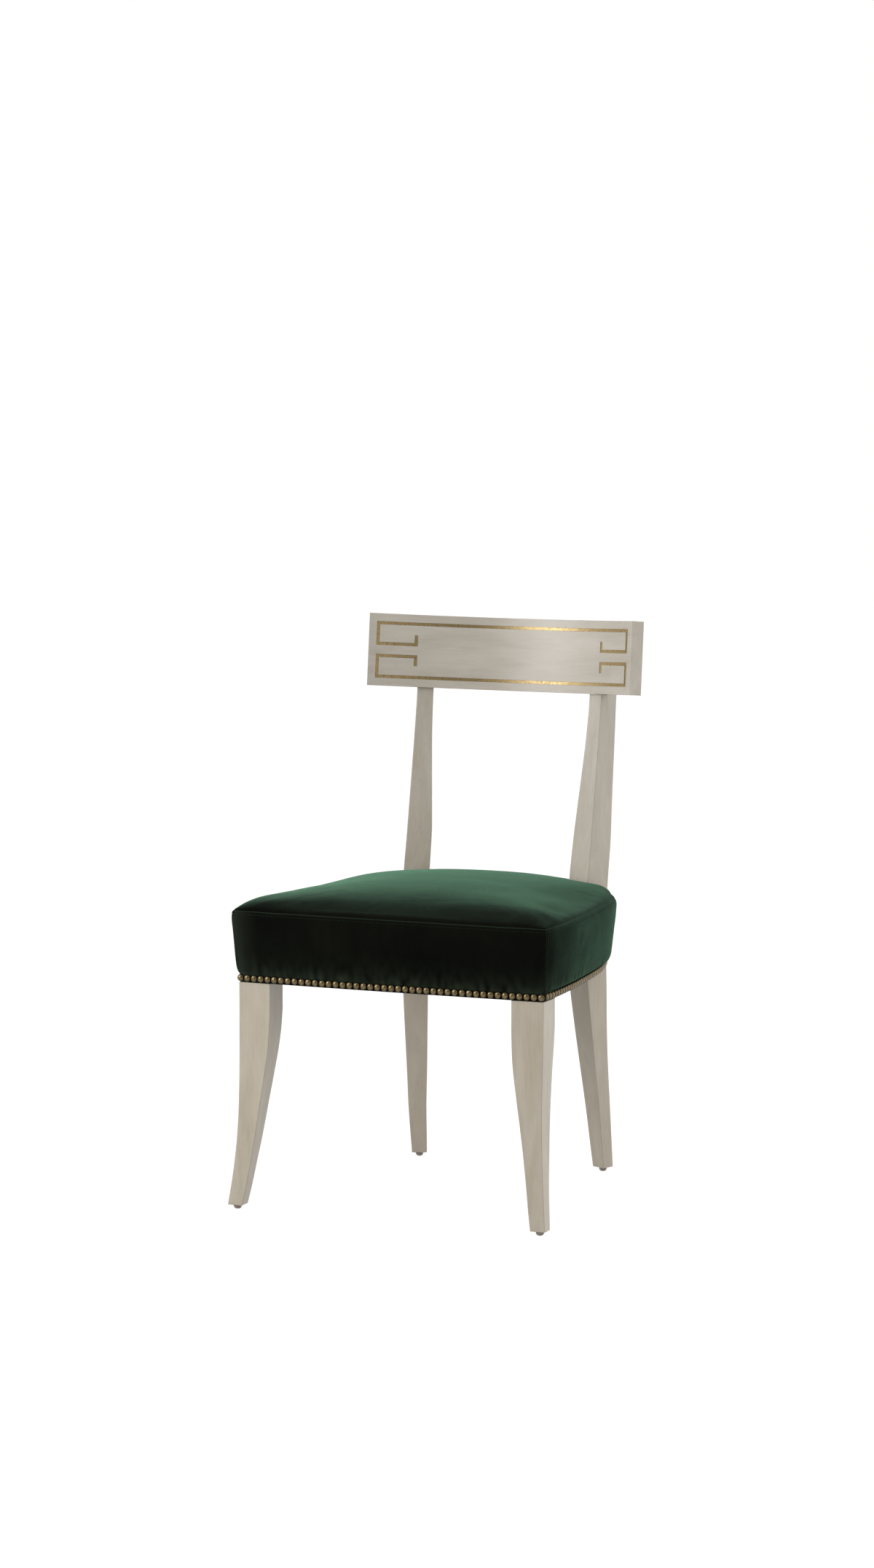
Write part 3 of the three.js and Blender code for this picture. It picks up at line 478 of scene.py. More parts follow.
def curve_slopes(places, values):
    """Slopes that carry a smooth curve through a table without overshooting it."""
    steps = [(values[at + 1] - values[at]) / (places[at + 1] - places[at])
             for at in range(len(places) - 1)]
    slopes = [steps[0]]
    for before, after in zip(steps, steps[1:]):
        if before * after <= 0:
            slopes.append(0.0)
        else:
            slopes.append(2 * before * after / (before + after))
    slopes.append(steps[-1])
    return slopes


def read_smooth(places, values, at):
    """Read a table of increasing places along a smooth curve."""
    at = min(max(at, places[0]), places[-1])
    slopes = curve_slopes(places, values)
    step = 0
    while step < len(places) - 2 and at > places[step + 1]:
        step += 1
    width = places[step + 1] - places[step]
    share = (at - places[step]) / width
    ahead, square, cube = share, share ** 2, share ** 3
    return ((2 * cube - 3 * square + 1) * values[step]
            + (cube - 2 * square + ahead) * width * slopes[step]
            + (3 * square - 2 * cube) * values[step + 1]
            + (cube - square) * width * slopes[step + 1])


def mix(low, high, share):
    return low + (high - low) * share


def clamped(share):
    return min(max(share, 0), 1)


def bell(distance, reach):
    return math.exp(-(distance / reach) ** 2)


def soft_step(share):
    share = clamped(share)
    return share * share * (3 - 2 * share)


def ripple(*place):
    return noise.noise(Vector(place))


# Materials

class Nodes:
    """Short ways to add and link the nodes of a material or of the room."""

    def __init__(self, owner):
        owner.use_nodes = True
        self.tree = owner.node_tree
        self.tree.nodes.clear()

    def feed(self, socket, value):
        if isinstance(value, bpy.types.NodeSocket):
            self.tree.links.new(value, socket)
        elif socket.type == "RGBA" and len(value) == 3:
            socket.default_value = (*value, 1)
        else:
            socket.default_value = value

    def node(self, kind, inputs=None, **settings):
        made = self.tree.nodes.new("ShaderNode" + kind)
        for key, value in settings.items():
            setattr(made, key, value)
        for key, value in (inputs or {}).items():
            self.feed(made.inputs[key], value)
        return made

    def place(self):
        return self.node("TexCoord").outputs["Object"]

    def attribute(self, name, output="Vector"):
        return self.node("Attribute", attribute_name=name).outputs[output]

    def scaled(self, vector, scale):
        return self.node("Mapping", {"Vector": vector, "Scale": scale}).outputs[0]

    def noise(self, vector, scale, detail=3.0, roughness=0.55, distortion=0.0):
        return self.node("TexNoise", {
            "Vector": vector, "Scale": scale, "Detail": detail, "Roughness": roughness,
            "Distortion": distortion,
        }).outputs["Fac"]

    def ramp(self, value, *stops):
        made = self.node("ValToRGB", {"Fac": value})
        ramp = made.color_ramp
        for at, (place, colour) in enumerate(stops):
            spot = ramp.elements[at] if at < 2 else ramp.elements.new(place)
            spot.position = place
            spot.color = (*colour, 1)
        return made.outputs["Color"]

    def range(self, value, low, high, to_low, to_high, kind="LINEAR"):
        return self.node("MapRange", {
            "Value": value, "From Min": low, "From Max": high, "To Min": to_low, "To Max": to_high,
        }, interpolation_type=kind).outputs[0]

    def maths(self, how, first, second=0.0):
        made = self.node("Math", operation=how)
        self.feed(made.inputs[0], first)
        self.feed(made.inputs[1], second)
        return made.outputs[0]

    def blend(self, share, first, second, how="MIX"):
        made = self.node("Mix", data_type="RGBA", blend_type=how)
        self.feed(made.inputs[0], share)
        self.feed(made.inputs[6], first)
        self.feed(made.inputs[7], second)
        return made.outputs[2]

    def tinted(self, colour, tint, value, low, high, to_low, to_high):
        """A colour with a tint over it, by how a value lies between two levels."""
        return self.blend(self.range(value, low, high, to_low, to_high), colour, tint)

    def seen(self):
        """Two values: 1 for camera and transmission rays, and 1 for those and glossy rays."""
        path = self.node("LightPath").outputs
        shown = self.maths("MAXIMUM", path["Is Camera Ray"], path["Is Transmission Ray"])
        return shown, self.maths("MAXIMUM", shown, path["Is Glossy Ray"])

    def bump(self, height, distance, strength=1.0, under=None):
        inputs = {"Height": height, "Distance": distance, "Strength": strength}
        if under is not None:
            inputs["Normal"] = under
        return self.node("Bump", inputs).outputs[0]


class Finish(Nodes):
    """A material in the making, with its shader in place."""

    def __init__(self, name):
        self.material = bpy.data.materials.new(name)
        super().__init__(self.material)
        self.shader = self.node("BsdfPrincipled")
        self.output = self.node("OutputMaterial", {"Surface": self.shader.outputs[0]})

    def set(self, **inputs):
        names = {"base": "Base Color", "rough": "Roughness", "metal": "Metallic",
                 "normal": "Normal", "sheen": "Sheen Weight", "sheen_rough": "Sheen Roughness",
                 "sheen_tint": "Sheen Tint", "coat": "Coat Weight",
                 "coat_rough": "Coat Roughness", "specular": "Specular IOR Level"}
        for key, value in inputs.items():
            self.feed(self.shader.inputs[names[key]], value)
        return self.material


def made_once(maker):
    """Keep the material that a maker gives, so that pieces of one finish share it."""
    kept = {}

    def give(scene):
        if maker.__name__ not in kept:
            kept[maker.__name__] = maker(scene)
        return kept[maker.__name__]
    return give


@made_once
def limed_wood(scene):
    wood = scene.chair_wood
    finish = Finish("limed_wood")
    grain = finish.attribute("grain")
    pale, body, shade = tuple(wood.pale), tuple(wood.body), tuple(wood.shade)
    figure = finish.noise(finish.scaled(grain, (8, 36, 36)), 1.0, 4, 0.55, 0.8)
    streak = finish.noise(finish.scaled(grain, (14, 420, 420)), 1.0, 3, 0.6)
    pores = finish.noise(finish.scaled(grain, (70, 1900, 1900)), 1.0, 2, 0.5)
    cloud = finish.noise(grain, 9.0, 2, 0.5)
    colour = finish.ramp(figure, (0.1, shade), (0.5, body), (0.95, pale))
    colour = finish.tinted(colour, pale, streak, 0.35, 0.7, 0.0, 0.22)
    colour = finish.tinted(colour, shade, streak, 0.3, 0.5, 0.14, 0.0)
    colour = finish.tinted(colour, pale, pores, 0.55, 0.75, 0.0, 0.35)
    colour = finish.tinted(colour, shade, cloud, 0.3, 0.7, 0.0, 0.12)
    # Darker and warmer towards the feet: the tint is multiplied in fully below 0.4 m and fades out
    # by 0.78 m.
    height = finish.node("SeparateXYZ", {"Vector": finish.place()}).outputs["Z"]
    colour = finish.blend(finish.range(height, 0.4, 0.78, 1.0, 0.0), colour, tuple(wood.darker_tone),
                          "MULTIPLY")
    eased = finish.attribute("eased", "Fac")
    colour = finish.blend(finish.maths("MULTIPLY", eased, 0.3), colour, shade)
    relief = finish.maths("ADD", finish.maths("MULTIPLY", streak, 0.5), pores)
    return finish.set(base=colour, rough=finish.range(streak, 0.2, 0.8, 0.4, 0.52), coat=0.85,
                      coat_rough=0.43, normal=finish.bump(relief, 0.00012, 0.4))


@made_once
def frame_wood(scene):
    finish = Finish("frame_wood")
    place = finish.place()
    bands = finish.noise(finish.scaled(place, (9, 9, 160)), 1.0, 4, 0.6, 0.4)
    fine = finish.noise(finish.scaled(place, (40, 40, 900)), 1.0, 2)
    base = tuple(scene.chair_wood.frame_wood)
    dark = tuple(0.72 * channel for channel in base)
    colour = finish.ramp(bands, (0.3, dark), (0.7, base))
    colour = finish.tinted(colour, dark, fine, 0.4, 0.7, 0.0, 0.3)
    return finish.set(base=colour, rough=finish.range(fine, 0.2, 0.8, 0.65, 0.85),
                      normal=finish.bump(fine, 0.0002, 0.6))


@made_once
def gold_leaf(scene):
    key = scene.chair_key
    finish = Finish("gold_leaf")
    place = finish.place()
    wear = finish.noise(place, 420.0, 4, 0.65)
    wash = finish.noise(place, 24.0, 2, 0.5)
    grain = finish.noise(place, 1400.0, 2, 0.5)
    colour = finish.ramp(wear, (0.28, tuple(key.darker_tone)), (0.54, tuple(key.gold)))
    colour = finish.tinted(colour, tuple(0.75 * channel for channel in key.gold),
                           wash, 0.35, 0.65, 0.0, 0.3)
    return finish.set(base=colour, metal=0.92, rough=finish.range(wear, 0.3, 0.7, 0.46, 0.30),
                      normal=finish.bump(finish.maths("ADD", wear, grain), 0.00012, 0.5))


@made_once
def velvet(scene):
    seat = scene.chair_seat
    finish = Finish("velvet")
    place = finish.place()
    cloth = finish.node("UVMap", uv_map="cloth").outputs[0]
    brushed = finish.noise(finish.scaled(cloth, (30, 5, 1)), 1.0, 3, 0.5, 0.3)
    hand = finish.noise(place, 9.0, 3, 0.5, 0.4)
    pile = finish.noise(place, 1500.0, 2, 0.6)
    tuft = finish.noise(place, 380.0, 3, 0.6)
    base = tuple(seat.velvet)
    deep = tuple(0.4 * channel for channel in base)
    bright = tuple(min(1.8 * channel, 1) for channel in base)
    colour = finish.ramp(hand, (0.34, deep), (0.52, base), (0.7, bright))
    nap = finish.attribute("nap", "Fac")
    colour = finish.tinted(colour, deep, brushed, 0.35, 0.65, 0.0, 0.5)
    colour = finish.tinted(colour, bright, tuft, 0.35, 0.7, 0.0, 0.3)
    # Painted light: the base goes paler towards the painted glow where the painted light map is
    # high.
    colour = finish.tinted(colour, tuple(seat.painted_glow), nap, 0.6, 1.0, 0.0, 0.8)
    # Thread on the stitches, and painted highlights on the seams and on the gathers above the
    # nails.
    colour = finish.blend(finish.attribute("stitches", "Fac"), colour, tuple(seat.thread_and_highlight))
    # Painted light and shade: the sheen is scaled by the painted light map, so it is dimmest at the
    # front and right of the seat.
    sheen = finish.blend(nap, (0, 0, 0), tuple(seat.velvet_sheen))
    swept = finish.maths("ADD", finish.maths("MULTIPLY", hand, 5.0), brushed)
    normal = finish.bump(swept, 0.0006, 0.6)
    normal = finish.bump(finish.maths("ADD", pile, tuft), 0.0004, 0.7, normal)
    return finish.set(base=colour, rough=0.95, specular=0.05, sheen=1.0, sheen_rough=0.3,
                      sheen_tint=sheen, normal=normal)


@made_once
def aged_brass(scene):
    trim = scene.chair_trim
    finish = Finish("aged_brass")
    place = finish.place()
    spot = finish.noise(place, 260.0, 4, 0.6)
    drift = finish.noise(place, 45.0, 2, 0.5)
    fine = finish.noise(place, 2200.0, 2, 0.5)
    aged = tuple(0.6 * a + 0.4 * b for a, b in zip(trim.brass, trim.tarnish_and_shade))
    colour = finish.ramp(spot, (0.3, aged), (0.55, tuple(trim.brass)))
    colour = finish.tinted(colour, aged, drift, 0.4, 0.7, 0.0, 0.25)
    # Tarnish and painted shade: towards the rim of each dome the brass goes over to this colour, so
    # only its top stays bright.
    colour = finish.tinted(colour, tuple(trim.tarnish_and_shade), finish.attribute("polished", "Fac"),
                           0.35, 1.0, 1.0, 0.0)
    return finish.set(base=colour, metal=0.95, rough=finish.range(spot, 0.3, 0.7, 0.32, 0.22),
                      normal=finish.bump(finish.maths("ADD", spot, fine), 0.00008, 0.4))


@made_once
def black_cambric(scene):
    finish = Finish("black_cambric")
    place = finish.place()
    weave, cross = (finish.node("TexWave", {"Vector": place, "Scale": 420.0, "Distortion": 0.6},
                                bands_direction=axis).outputs["Fac"] for axis in "XY")
    threads = finish.maths("MULTIPLY", weave, cross)
    base = tuple(scene.chair_trim.cambric)
    pale = tuple(min(channel * 3 + 0.01, 1) for channel in base)
    return finish.set(base=finish.blend(threads, base, pale), rough=0.9, sheen=0.2,
                      normal=finish.bump(threads, 0.0002, 0.5))


@made_once
def glide_nylon(scene):
    finish = Finish("glide_nylon")
    place = finish.place()
    scuff = finish.noise(place, 420.0, 3, 0.6)
    base = tuple(scene.chair_trim.glide)
    dark = tuple(0.6 * channel for channel in base)
    return finish.set(base=finish.tinted(base, dark, scuff, 0.4, 0.7, 0.0, 0.5),
                      rough=finish.range(scuff, 0.3, 0.7, 0.4, 0.65),
                      normal=finish.bump(scuff, 0.0001, 0.4))


# Seat plan, as stations on the nailed edge, anticlockwise as seen from above

Station = namedtuple("Station", "point outward fullness along edge")


def post_sections():
    """Outer front corner, width and depth of a rear leg and its post at rising heights."""
    Section = namedtuple("Section", "height x y width depth")
    foot = GLIDE_HEIGHT + FOOT_FIT
    sections = []
    for at, drop in enumerate(REAR_DROP[:-1]):
        sections.append(Section(
            mix(WAIST_HEIGHT, foot, drop),
            POST_SPAN / 2 + REAR_LEG_SPLAY * REAR_OUT[at],
            POST_SETBACK + REAR_LEG_SWEEP * REAR_SWEEP[at],
            mix(POST_SEAT_SIZE[0], REAR_FOOT_SIZE[0], REAR_WIDTH[at]),
            mix(POST_SEAT_SIZE[1], REAR_FOOT_SIZE[1], REAR_DEPTH[at]),
        ))
    for at, rise in enumerate(POST_RISE):
        sections.append(Section(
            mix(WAIST_HEIGHT, NECK_HEIGHT, rise),
            POST_SPAN / 2,
            POST_SETBACK + POST_SWEEP * POST_BACK[at],
            mix(POST_SEAT_SIZE[0], POST_RAIL_SIZE[0], POST_WIDTH[at]),
            mix(POST_SEAT_SIZE[1], POST_RAIL_SIZE[1], POST_DEPTH[at]),
        ))
    neck = sections[-1]
    for height, depth in ((POST_TOP_HEIGHT - POST_TOP_SLOPE, neck.depth),
                          (POST_TOP_HEIGHT, neck.depth - POST_TOP_SLOPE)):
        back = neck.y + (height - neck.height) * math.tan(RAIL_LEAN)
        sections.append(Section(height, neck.x, back, neck.width, depth))
    return sections


POST_SECTIONS = post_sections()
POST_ACROSS = Vector((math.cos(POST_TURN), -math.sin(POST_TURN)))
POST_REARWARD = Vector((math.sin(POST_TURN), math.cos(POST_TURN)))


def post_at(height):
    """Outer front corner, width and depth of the post's section at a height."""
    heights = [section.height for section in POST_SECTIONS]
    return [read_smooth(heights, [section[part] for section in POST_SECTIONS], height)
            for part in range(1, 5)]


def post_point(height, inward, back):
    corner = Vector(post_at(height)[:2])
    return corner - POST_ACROSS * inward + POST_REARWARD * back


def rear_corner():
    depth = post_at(WAIST_HEIGHT)[3]
    return post_point(WAIST_HEIGHT, POST_COVER_INSET, depth - POST_COVER_INSET)


def through(points, share):
    """A point of the evenly stepped spline through points."""
    place = (len(points) - 1) * clamped(share)
    step = min(int(place), len(points) - 2)
    ahead = place - step
    before = points[max(step - 1, 0)]
    here, there = points[step], points[step + 1]
    after = points[min(step + 2, len(points) - 1)]
    leave, arrive = (there - before) / 2, (after - here) / 2
    return ((2 * here - 2 * there + leave + arrive) * ahead ** 3
            + (-3 * here + 3 * there - 2 * leave - arrive) * ahead ** 2
            + leave * ahead + here)


def bowed(start, end, bow, share):
    middle = (start + end) / 2 + Vector((0, 2 * bow))
    return start * (1 - share) ** 2 + middle * 2 * share * (1 - share) + end * share ** 2


class Edge:
    """One edge of the seat's plan, read by distance along it."""

    STEPS = 800

    def __init__(self, place_at, fullness):
        self.fullness = fullness
        self.points = [place_at(step / self.STEPS) for step in range(self.STEPS + 1)]
        self.lengths = [0.0]
        for last, here in zip(self.points, self.points[1:]):
            self.lengths.append(self.lengths[-1] + (here - last).length)
        self.length = self.lengths[-1]

    def at(self, distance):
        """Point and direction at a distance; beyond its ends the edge runs straight on."""
        inside = min(max(distance, 0.0), self.length)
        low, high = 0, len(self.lengths) - 1
        while high - low > 1:
            half = (low + high) // 2
            if self.lengths[half] <= inside:
                low = half
            else:
                high = half
        span = self.lengths[high] - self.lengths[low]
        along = (self.points[high] - self.points[low]) / span
        point = self.points[low] + along * (inside - self.lengths[low])
        return point + along * (distance - inside), along

    def outward(self, distance):
        along = self.at(distance)[1]
        return Vector((along.y, -along.x))


def seat_edges():
    half = SEAT_WIDTH / 2
    corner = rear_corner()
    length = corner.y + SEAT_FRONT_REACH
    side = [Vector((half - (half - corner.x) * inset, length * depth - SEAT_FRONT_REACH))
            for depth, inset in zip(SIDE_DEPTH, SIDE_INSET)]
    other = [Vector((-point.x, point.y)) for point in reversed(side)]
    front = (Vector((-half, -SEAT_FRONT_REACH)), Vector((half, -SEAT_FRONT_REACH)))
    rear = (corner, Vector((-corner.x, corner.y)))

    def side_fullness(share):
        return read_smooth(SIDE_PLACES, SIDE_FULLNESS, share)

    return {
        "front": Edge(lambda share: bowed(*front, -SEAT_FRONT_BOW, share),
                      lambda share: TAUT_SHARE),
        "right": Edge(lambda share: through(side, share), side_fullness),
        "rear": Edge(lambda share: bowed(*rear, SEAT_REAR_BOW, share),
                     lambda share: REAR_FULLNESS * (1 - (2 * share - 1) ** 2)),
        "left": Edge(lambda share: through(other, share), lambda share: side_fullness(1 - share)),
    }


EDGES = seat_edges()
EDGE_ORDER = ("front", "right", "rear", "left")


def plan_stations(radius, spacing=0.0032, corner_steps=18):
    """Closely spaced stations round the seat, with its corners rounded."""
    stations = []
    travelled = 0.0
    for order, name in enumerate(EDGE_ORDER):
        edge = EDGES[name]
        following = EDGES[EDGE_ORDER[(order + 1) % 4]]
        count = max(round(edge.length / spacing), 8)
        for step in range(count + 1):
            distance = mix(radius, edge.length - radius, step / count)
            stations.append(Station(edge.at(distance)[0], edge.outward(distance),
                                    edge.fullness(distance / edge.length),
                                    travelled + distance, name))
        start, end = edge.at(edge.length - radius)[0], following.at(radius)[0]
        corner = edge.points[-1]
        for step in range(1, corner_steps):
            share = step / corner_steps
            point = start * (1 - share) ** 2 + corner * 2 * share * (1 - share) + end * share ** 2
            outward = (edge.outward(edge.length - radius) * (1 - share)
                       + following.outward(radius) * share).normalized()
            stations.append(Station(
                point, outward,
                mix(edge.fullness(1 - radius / edge.length),
                    following.fullness(radius / following.length), share),
                travelled + edge.length + radius * (2 * share - 1), name))
        travelled += edge.length
    return stations


def boxing_out(fullness, rise, swell):
    slack = max((fullness - TAUT_SHARE) / (1 - TAUT_SHARE), 0)
    out = mix(read_smooth(BOXING_RISE, TAUT_OUT, rise), read_smooth(BOXING_RISE, LOOSE_OUT, rise),
              slack)
    return swell * fullness * out


def crown_rise(spot, share, height):
    """The crown's height over the seam: steeper in front, fuller in the two front corners."""
    facing = (spot - CROWN_CENTRE).normalized().y
    rise = height * (1 - share ** 2) ** read_smooth(CROWN_FACING, CROWN_FALL, facing)
    away = Vector((abs(spot.x), spot.y)) - FULL_CORNER
    return rise + FULL_CORNER_SWELL * (1 - share ** 24) * bell(away.length, FULL_CORNER_REACH)


# Wood pieces

def tapered_bar(name, sections, ease):
    """A squared bar drawn up from its foot. A section is its height, corner x and y, and size."""
    first = sections[0]
    bpy.ops.mesh.primitive_plane_add(size=1)
    bar = named(name)
    with editing(bar):
        pick_all()
        resize((first[3], first[4], 1), (0, 0, 0))
        bpy.ops.transform.translate(value=(first[1] - first[3] / 2, first[2] + first[4] / 2,
                                           first[0]))
        for last, now in zip(sections, sections[1:]):
            extrude((now[1] - last[1], now[2] - last[2], now[0] - last[0]))
            resize((now[3] / last[3], now[4] / last[4], 1), (now[1], now[2], now[0]))
        close_and_turn_out()
        if ease:
            ease_edges(ease)
    return bar


def front_leg(name, ease):
    """Sabre leg with a straight block that steps in behind the cover."""
    half = SEAT_WIDTH / 2
    foot = GLIDE_HEIGHT + FOOT_FIT
    places = [1 - drop for drop in FRONT_DROP]
    sections = []
    for rise in (step / 40 for step in range(41)):
        out, fore, narrow, thin = (read_smooth(places, table, rise) for table in (
            FRONT_OUT, FRONT_FORE, FRONT_WIDTH, FRONT_DEPTH))
        sections.append((
            mix(foot, KNEE_HEIGHT, rise),
            half + FRONT_LEG_SPLAY[0] * out,
            -SEAT_FRONT_REACH - FRONT_LEG_SPLAY[1] * fore,
            mix(FRONT_LEG_SIZE[0], FRONT_FOOT_SIZE[0], narrow),
            mix(FRONT_LEG_SIZE[1], FRONT_FOOT_SIZE[1], thin),
        ))
    ledge = HEM_HEIGHT - CLOTH_FIT
    step_in = CLOTH_THICKNESS + CLOTH_FIT
    width, depth = FRONT_LEG_SIZE
    sections.append((ledge, half, -SEAT_FRONT_REACH, width, depth))
    inner = (half - step_in, -SEAT_FRONT_REACH + step_in, width - step_in, depth - step_in)
    sections.append((ledge, *inner))
    sections.append((FRAME_TOP_HEIGHT, *inner))
    return tapered_bar(name, sections, ease)


def post_bar(name, ease, grown=0.0):
    """Rear leg and post in one, drawn along its own turned axes, then turned to its place."""
    low, high = POST_SECTIONS[0].height, POST_SECTIONS[-2].height
    heights = [mix(low, high, step / 72) for step in range(73)] + [POST_TOP_HEIGHT]
    sections = []
    for height in heights:
        x, y, width, depth = post_at(height)
        corner = Vector((x, y))
        sections.append((height, corner.dot(POST_ACROSS) + grown, corner.dot(POST_REARWARD) - grown,
                         width + 2 * grown, depth + 2 * grown))
    bar = tapered_bar(name, sections, ease)
    return placed(bar, Matrix.Rotation(-POST_TURN, 4, "Z"))


def rail_turned(piece, angle):
    """Turn a piece about the rail's upright axis, clockwise as seen from above."""
    axis = Matrix.Translation((0, -RAIL_RADIUS, 0))
    return placed(piece, axis @ Matrix.Rotation(-angle, 4, "Z") @ axis.inverted())


def bent_bar(name, start, end, near, far, low, high, pitch=0.005):
    """A bar bent to the rail's radius, from one length, depth and height to another."""
    bpy.ops.mesh.primitive_plane_add(size=1, rotation=(0, math.pi / 2, 0))
    bar = named(name)
    placed(bar, bar.matrix_world.copy())
    angle = (end - start) / RAIL_RADIUS
    with editing(bar):
        pick_all()
        resize((1, far - near, high - low), (0, 0, 0))
        bpy.ops.transform.translate(value=(0, (near + far) / 2, (low + high) / 2))
        bpy.ops.mesh.spin(steps=max(round((end - start) / pitch), 1), angle=angle,
                          center=(0, -RAIL_RADIUS, 0), axis=(0, 0, 1))
        close_and_turn_out()
    middle = sum(vertex.co.x for vertex in bar.data.vertices)
    turned = math.copysign(angle / 2, middle)
    return rail_turned(bar, (start + end) / 2 / RAIL_RADIUS - turned)


def leaned(piece):
    return placed(piece, Matrix.Translation((0, RAIL_SETBACK, RAIL_BOTTOM))
                  @ Matrix.Rotation(-RAIL_LEAN, 4, "X"))


def key_line(name, line, slack, near, far, flipped):
    """One key line, joined from bars on the rail's face."""
    end = RAIL_LENGTH / 2 - KEY_MARGIN + slack
    hook = RAIL_LENGTH / 2 - KEY_MARGIN - KEY_HOOK_SPAN - slack
    wide = line + slack * 2
    top = RAIL_HEIGHT - KEY_MARGIN + slack
    bottom = (RAIL_HEIGHT + KEY_GAP) / 2 - slack
    hook_top = bottom + slack + KEY_HOOK_RISE + slack
    bars = [(-end, end, top - wide, top)]
    for side in (1, -1):
        for start, stop, low, high in ((end - wide, end, bottom, top),
                                       (hook, end, bottom, bottom + wide),
                                       (hook, hook + wide, bottom, hook_top)):
            bars.append((*sorted((side * start, side * stop)), low, high))
    whole = None
    for start, stop, low, high in bars:
        if flipped:
            low, high = RAIL_HEIGHT - high, RAIL_HEIGHT - low
        bar = bent_bar(name, start, stop, near, far, low, high)
        if whole is None:
            whole = bar
        else:
            carve(whole, bar, "UNION")
            discard(bar)
    whole.name = whole.data.name = name
    return whole


def along_rail(point):
    """Grain of the bent rail: along its curve, through its thickness and up its height."""
    upright = Matrix.Rotation(RAIL_LEAN, 3, "X") @ (
        point - Vector((0, RAIL_SETBACK, RAIL_BOTTOM)))
    reach = Vector((upright.x, upright.y + RAIL_RADIUS))
    return (math.atan2(reach.x, reach.y) * RAIL_RADIUS, reach.length - RAIL_RADIUS, upright.z)


def move_to_frame(piece):
    """From the tables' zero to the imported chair's origin."""
    return placed(piece, Matrix.Translation((0, ZERO_Y, 0)))


# Operators

class CHAIR_OT_back_rail(bpy.types.Operator):
    """Bend the back rail, saw its ends, round its edges and groove it for the key lines"""
    bl_idname = "klismos.back_rail"
    bl_label = "Back Rail"

    def execute(self, context):
        scene = context.scene
        reach = RAIL_LENGTH / 2 + RAIL_SPARE
        rail = bent_bar("back_rail", -reach, reach, 0, RAIL_THICKNESS, 0, RAIL_HEIGHT, 0.0045)
        for side in (-1, 1):
            corner = Vector((side * RAIL_RADIUS * math.sin(RAIL_REACH),
                             RAIL_RADIUS * math.cos(RAIL_REACH) - RAIL_RADIUS, 0))
            facing = Vector((side * math.cos(RAIL_END_TURN), -math.sin(RAIL_END_TURN), 0))
            with editing(rail):
                pick_all("VERT")
                bpy.ops.mesh.bisect(plane_co=corner, plane_no=facing, use_fill=True,
                                    clear_outer=True)
        with editing(rail):
            close_and_turn_out()
            ease_edges(scene.chair_wood.rail_ease)
        for flipped in (False, True):
            groove = key_line("groove", scene.chair_key.line_width, 0, -CUT_OVERRUN, KEY_GROOVE,
                              flipped)
            carve(rail, groove)
            discard(groove)
        leaned(rail)
        lay_grain(rail, along_rail)
        move_to_frame(rail)
        smooth(rail)
        dress(rail, limed_wood(scene), "limed_wood", "top_rail")
        return {"FINISHED"}


class CHAIR_OT_key_lines(bpy.types.Operator):
    """Lay the two gilded key lines in their grooves"""
    bl_idname = "klismos.key_lines"
    bl_label = "Key Lines"

    def execute(self, context):
        scene = context.scene
        for name, node, flipped in (("key_line_upper", "upper_key_inlay", False),
                                    ("key_line_lower", "lower_key_inlay", True)):
            line = key_line(name, scene.chair_key.line_width, -KEY_FIT, KEY_FACE_DEPTH,
                            KEY_BACK_DEPTH, flipped)
            with editing(line):
                pick_all("VERT")
                bpy.ops.mesh.remove_doubles(threshold=KEY_MERGE)
                bpy.ops.mesh.vert_connect_concave()
                close_and_turn_out()
            move_to_frame(leaned(line))
            dress(line, gold_leaf(scene), "gold_leaf", node)
        return {"FINISHED"}


class CHAIR_OT_rear_legs(bpy.types.Operator):
    """Shape the two rear legs with their posts and notch them for the rail"""
    bl_idname = "klismos.rear_legs"
    bl_label = "Rear Legs"

    def execute(self, context):
        scene = context.scene
        leg = post_bar("post_leg_right", scene.chair_wood.edge_ease)
        half = RAIL_LENGTH / 2
        notch = leaned(bent_bar("notch", -half, half, -CUT_OVERRUN, RAIL_THICKNESS + FOOT_FIT,
                                -FOOT_FIT, RAIL_HEIGHT + CUT_OVERRUN))
        carve(leg, notch)
        discard(notch)
        for share in PLUG_DROPS:
            hole = plug_rod("hole", share, PLUG_RADIUS + PLUG_FIT, CUT_OVERRUN, 0)
            carve(leg, hole)
            discard(hole)
        lay_grain(leg, lambda point: (point.z, point.x + 0.3, point.y))
        finish_pair(scene, leg, "rear_leg", shift=1)
        return {"FINISHED"}


class CHAIR_OT_front_legs(bpy.types.Operator):
    """Shape the two sabre legs at the front"""
    bl_idname = "klismos.front_legs"
    bl_label = "Front Legs"

    def execute(self, context):
        scene = context.scene
        leg = front_leg("sabre_leg_right", scene.chair_wood.edge_ease)
        lay_grain(leg, lambda point: (point.z + 2.3, point.x, point.y))
        finish_pair(scene, leg, "front_leg", shift=1)
        return {"FINISHED"}


def plug_rod(name, drop_share, radius, length, proud):
    """A round rod square to the post's back, from a depth inside it to just proud of it."""
    height = mix(POST_TOP_HEIGHT - POST_TOP_SLOPE, RAIL_BOTTOM, drop_share)
    width, depth = post_at(height)[2:]
    place = post_point(height, width / 2, depth)
    bpy.ops.mesh.primitive_cylinder_add(vertices=32, radius=radius, depth=2 * length)
    rod = named(name)
    if proud:
        with editing(rod):
            pick("VERT", lambda vertex: vertex.co.z > 0)
            bpy.ops.transform.translate(value=(0, 0, proud - length))
            pick("VERT", lambda vertex: vertex.co.z < proud - SMALL)
            bpy.ops.transform.translate(value=(0, 0, proud))
    return placed(rod, Matrix.Translation((place.x, place.y, height))
                  @ Matrix.Rotation(-POST_TURN, 4, "Z")
                  @ Matrix.Rotation(-RAIL_LEAN, 4, "X")
                  @ Matrix.Rotation(-math.pi / 2, 4, "X"))


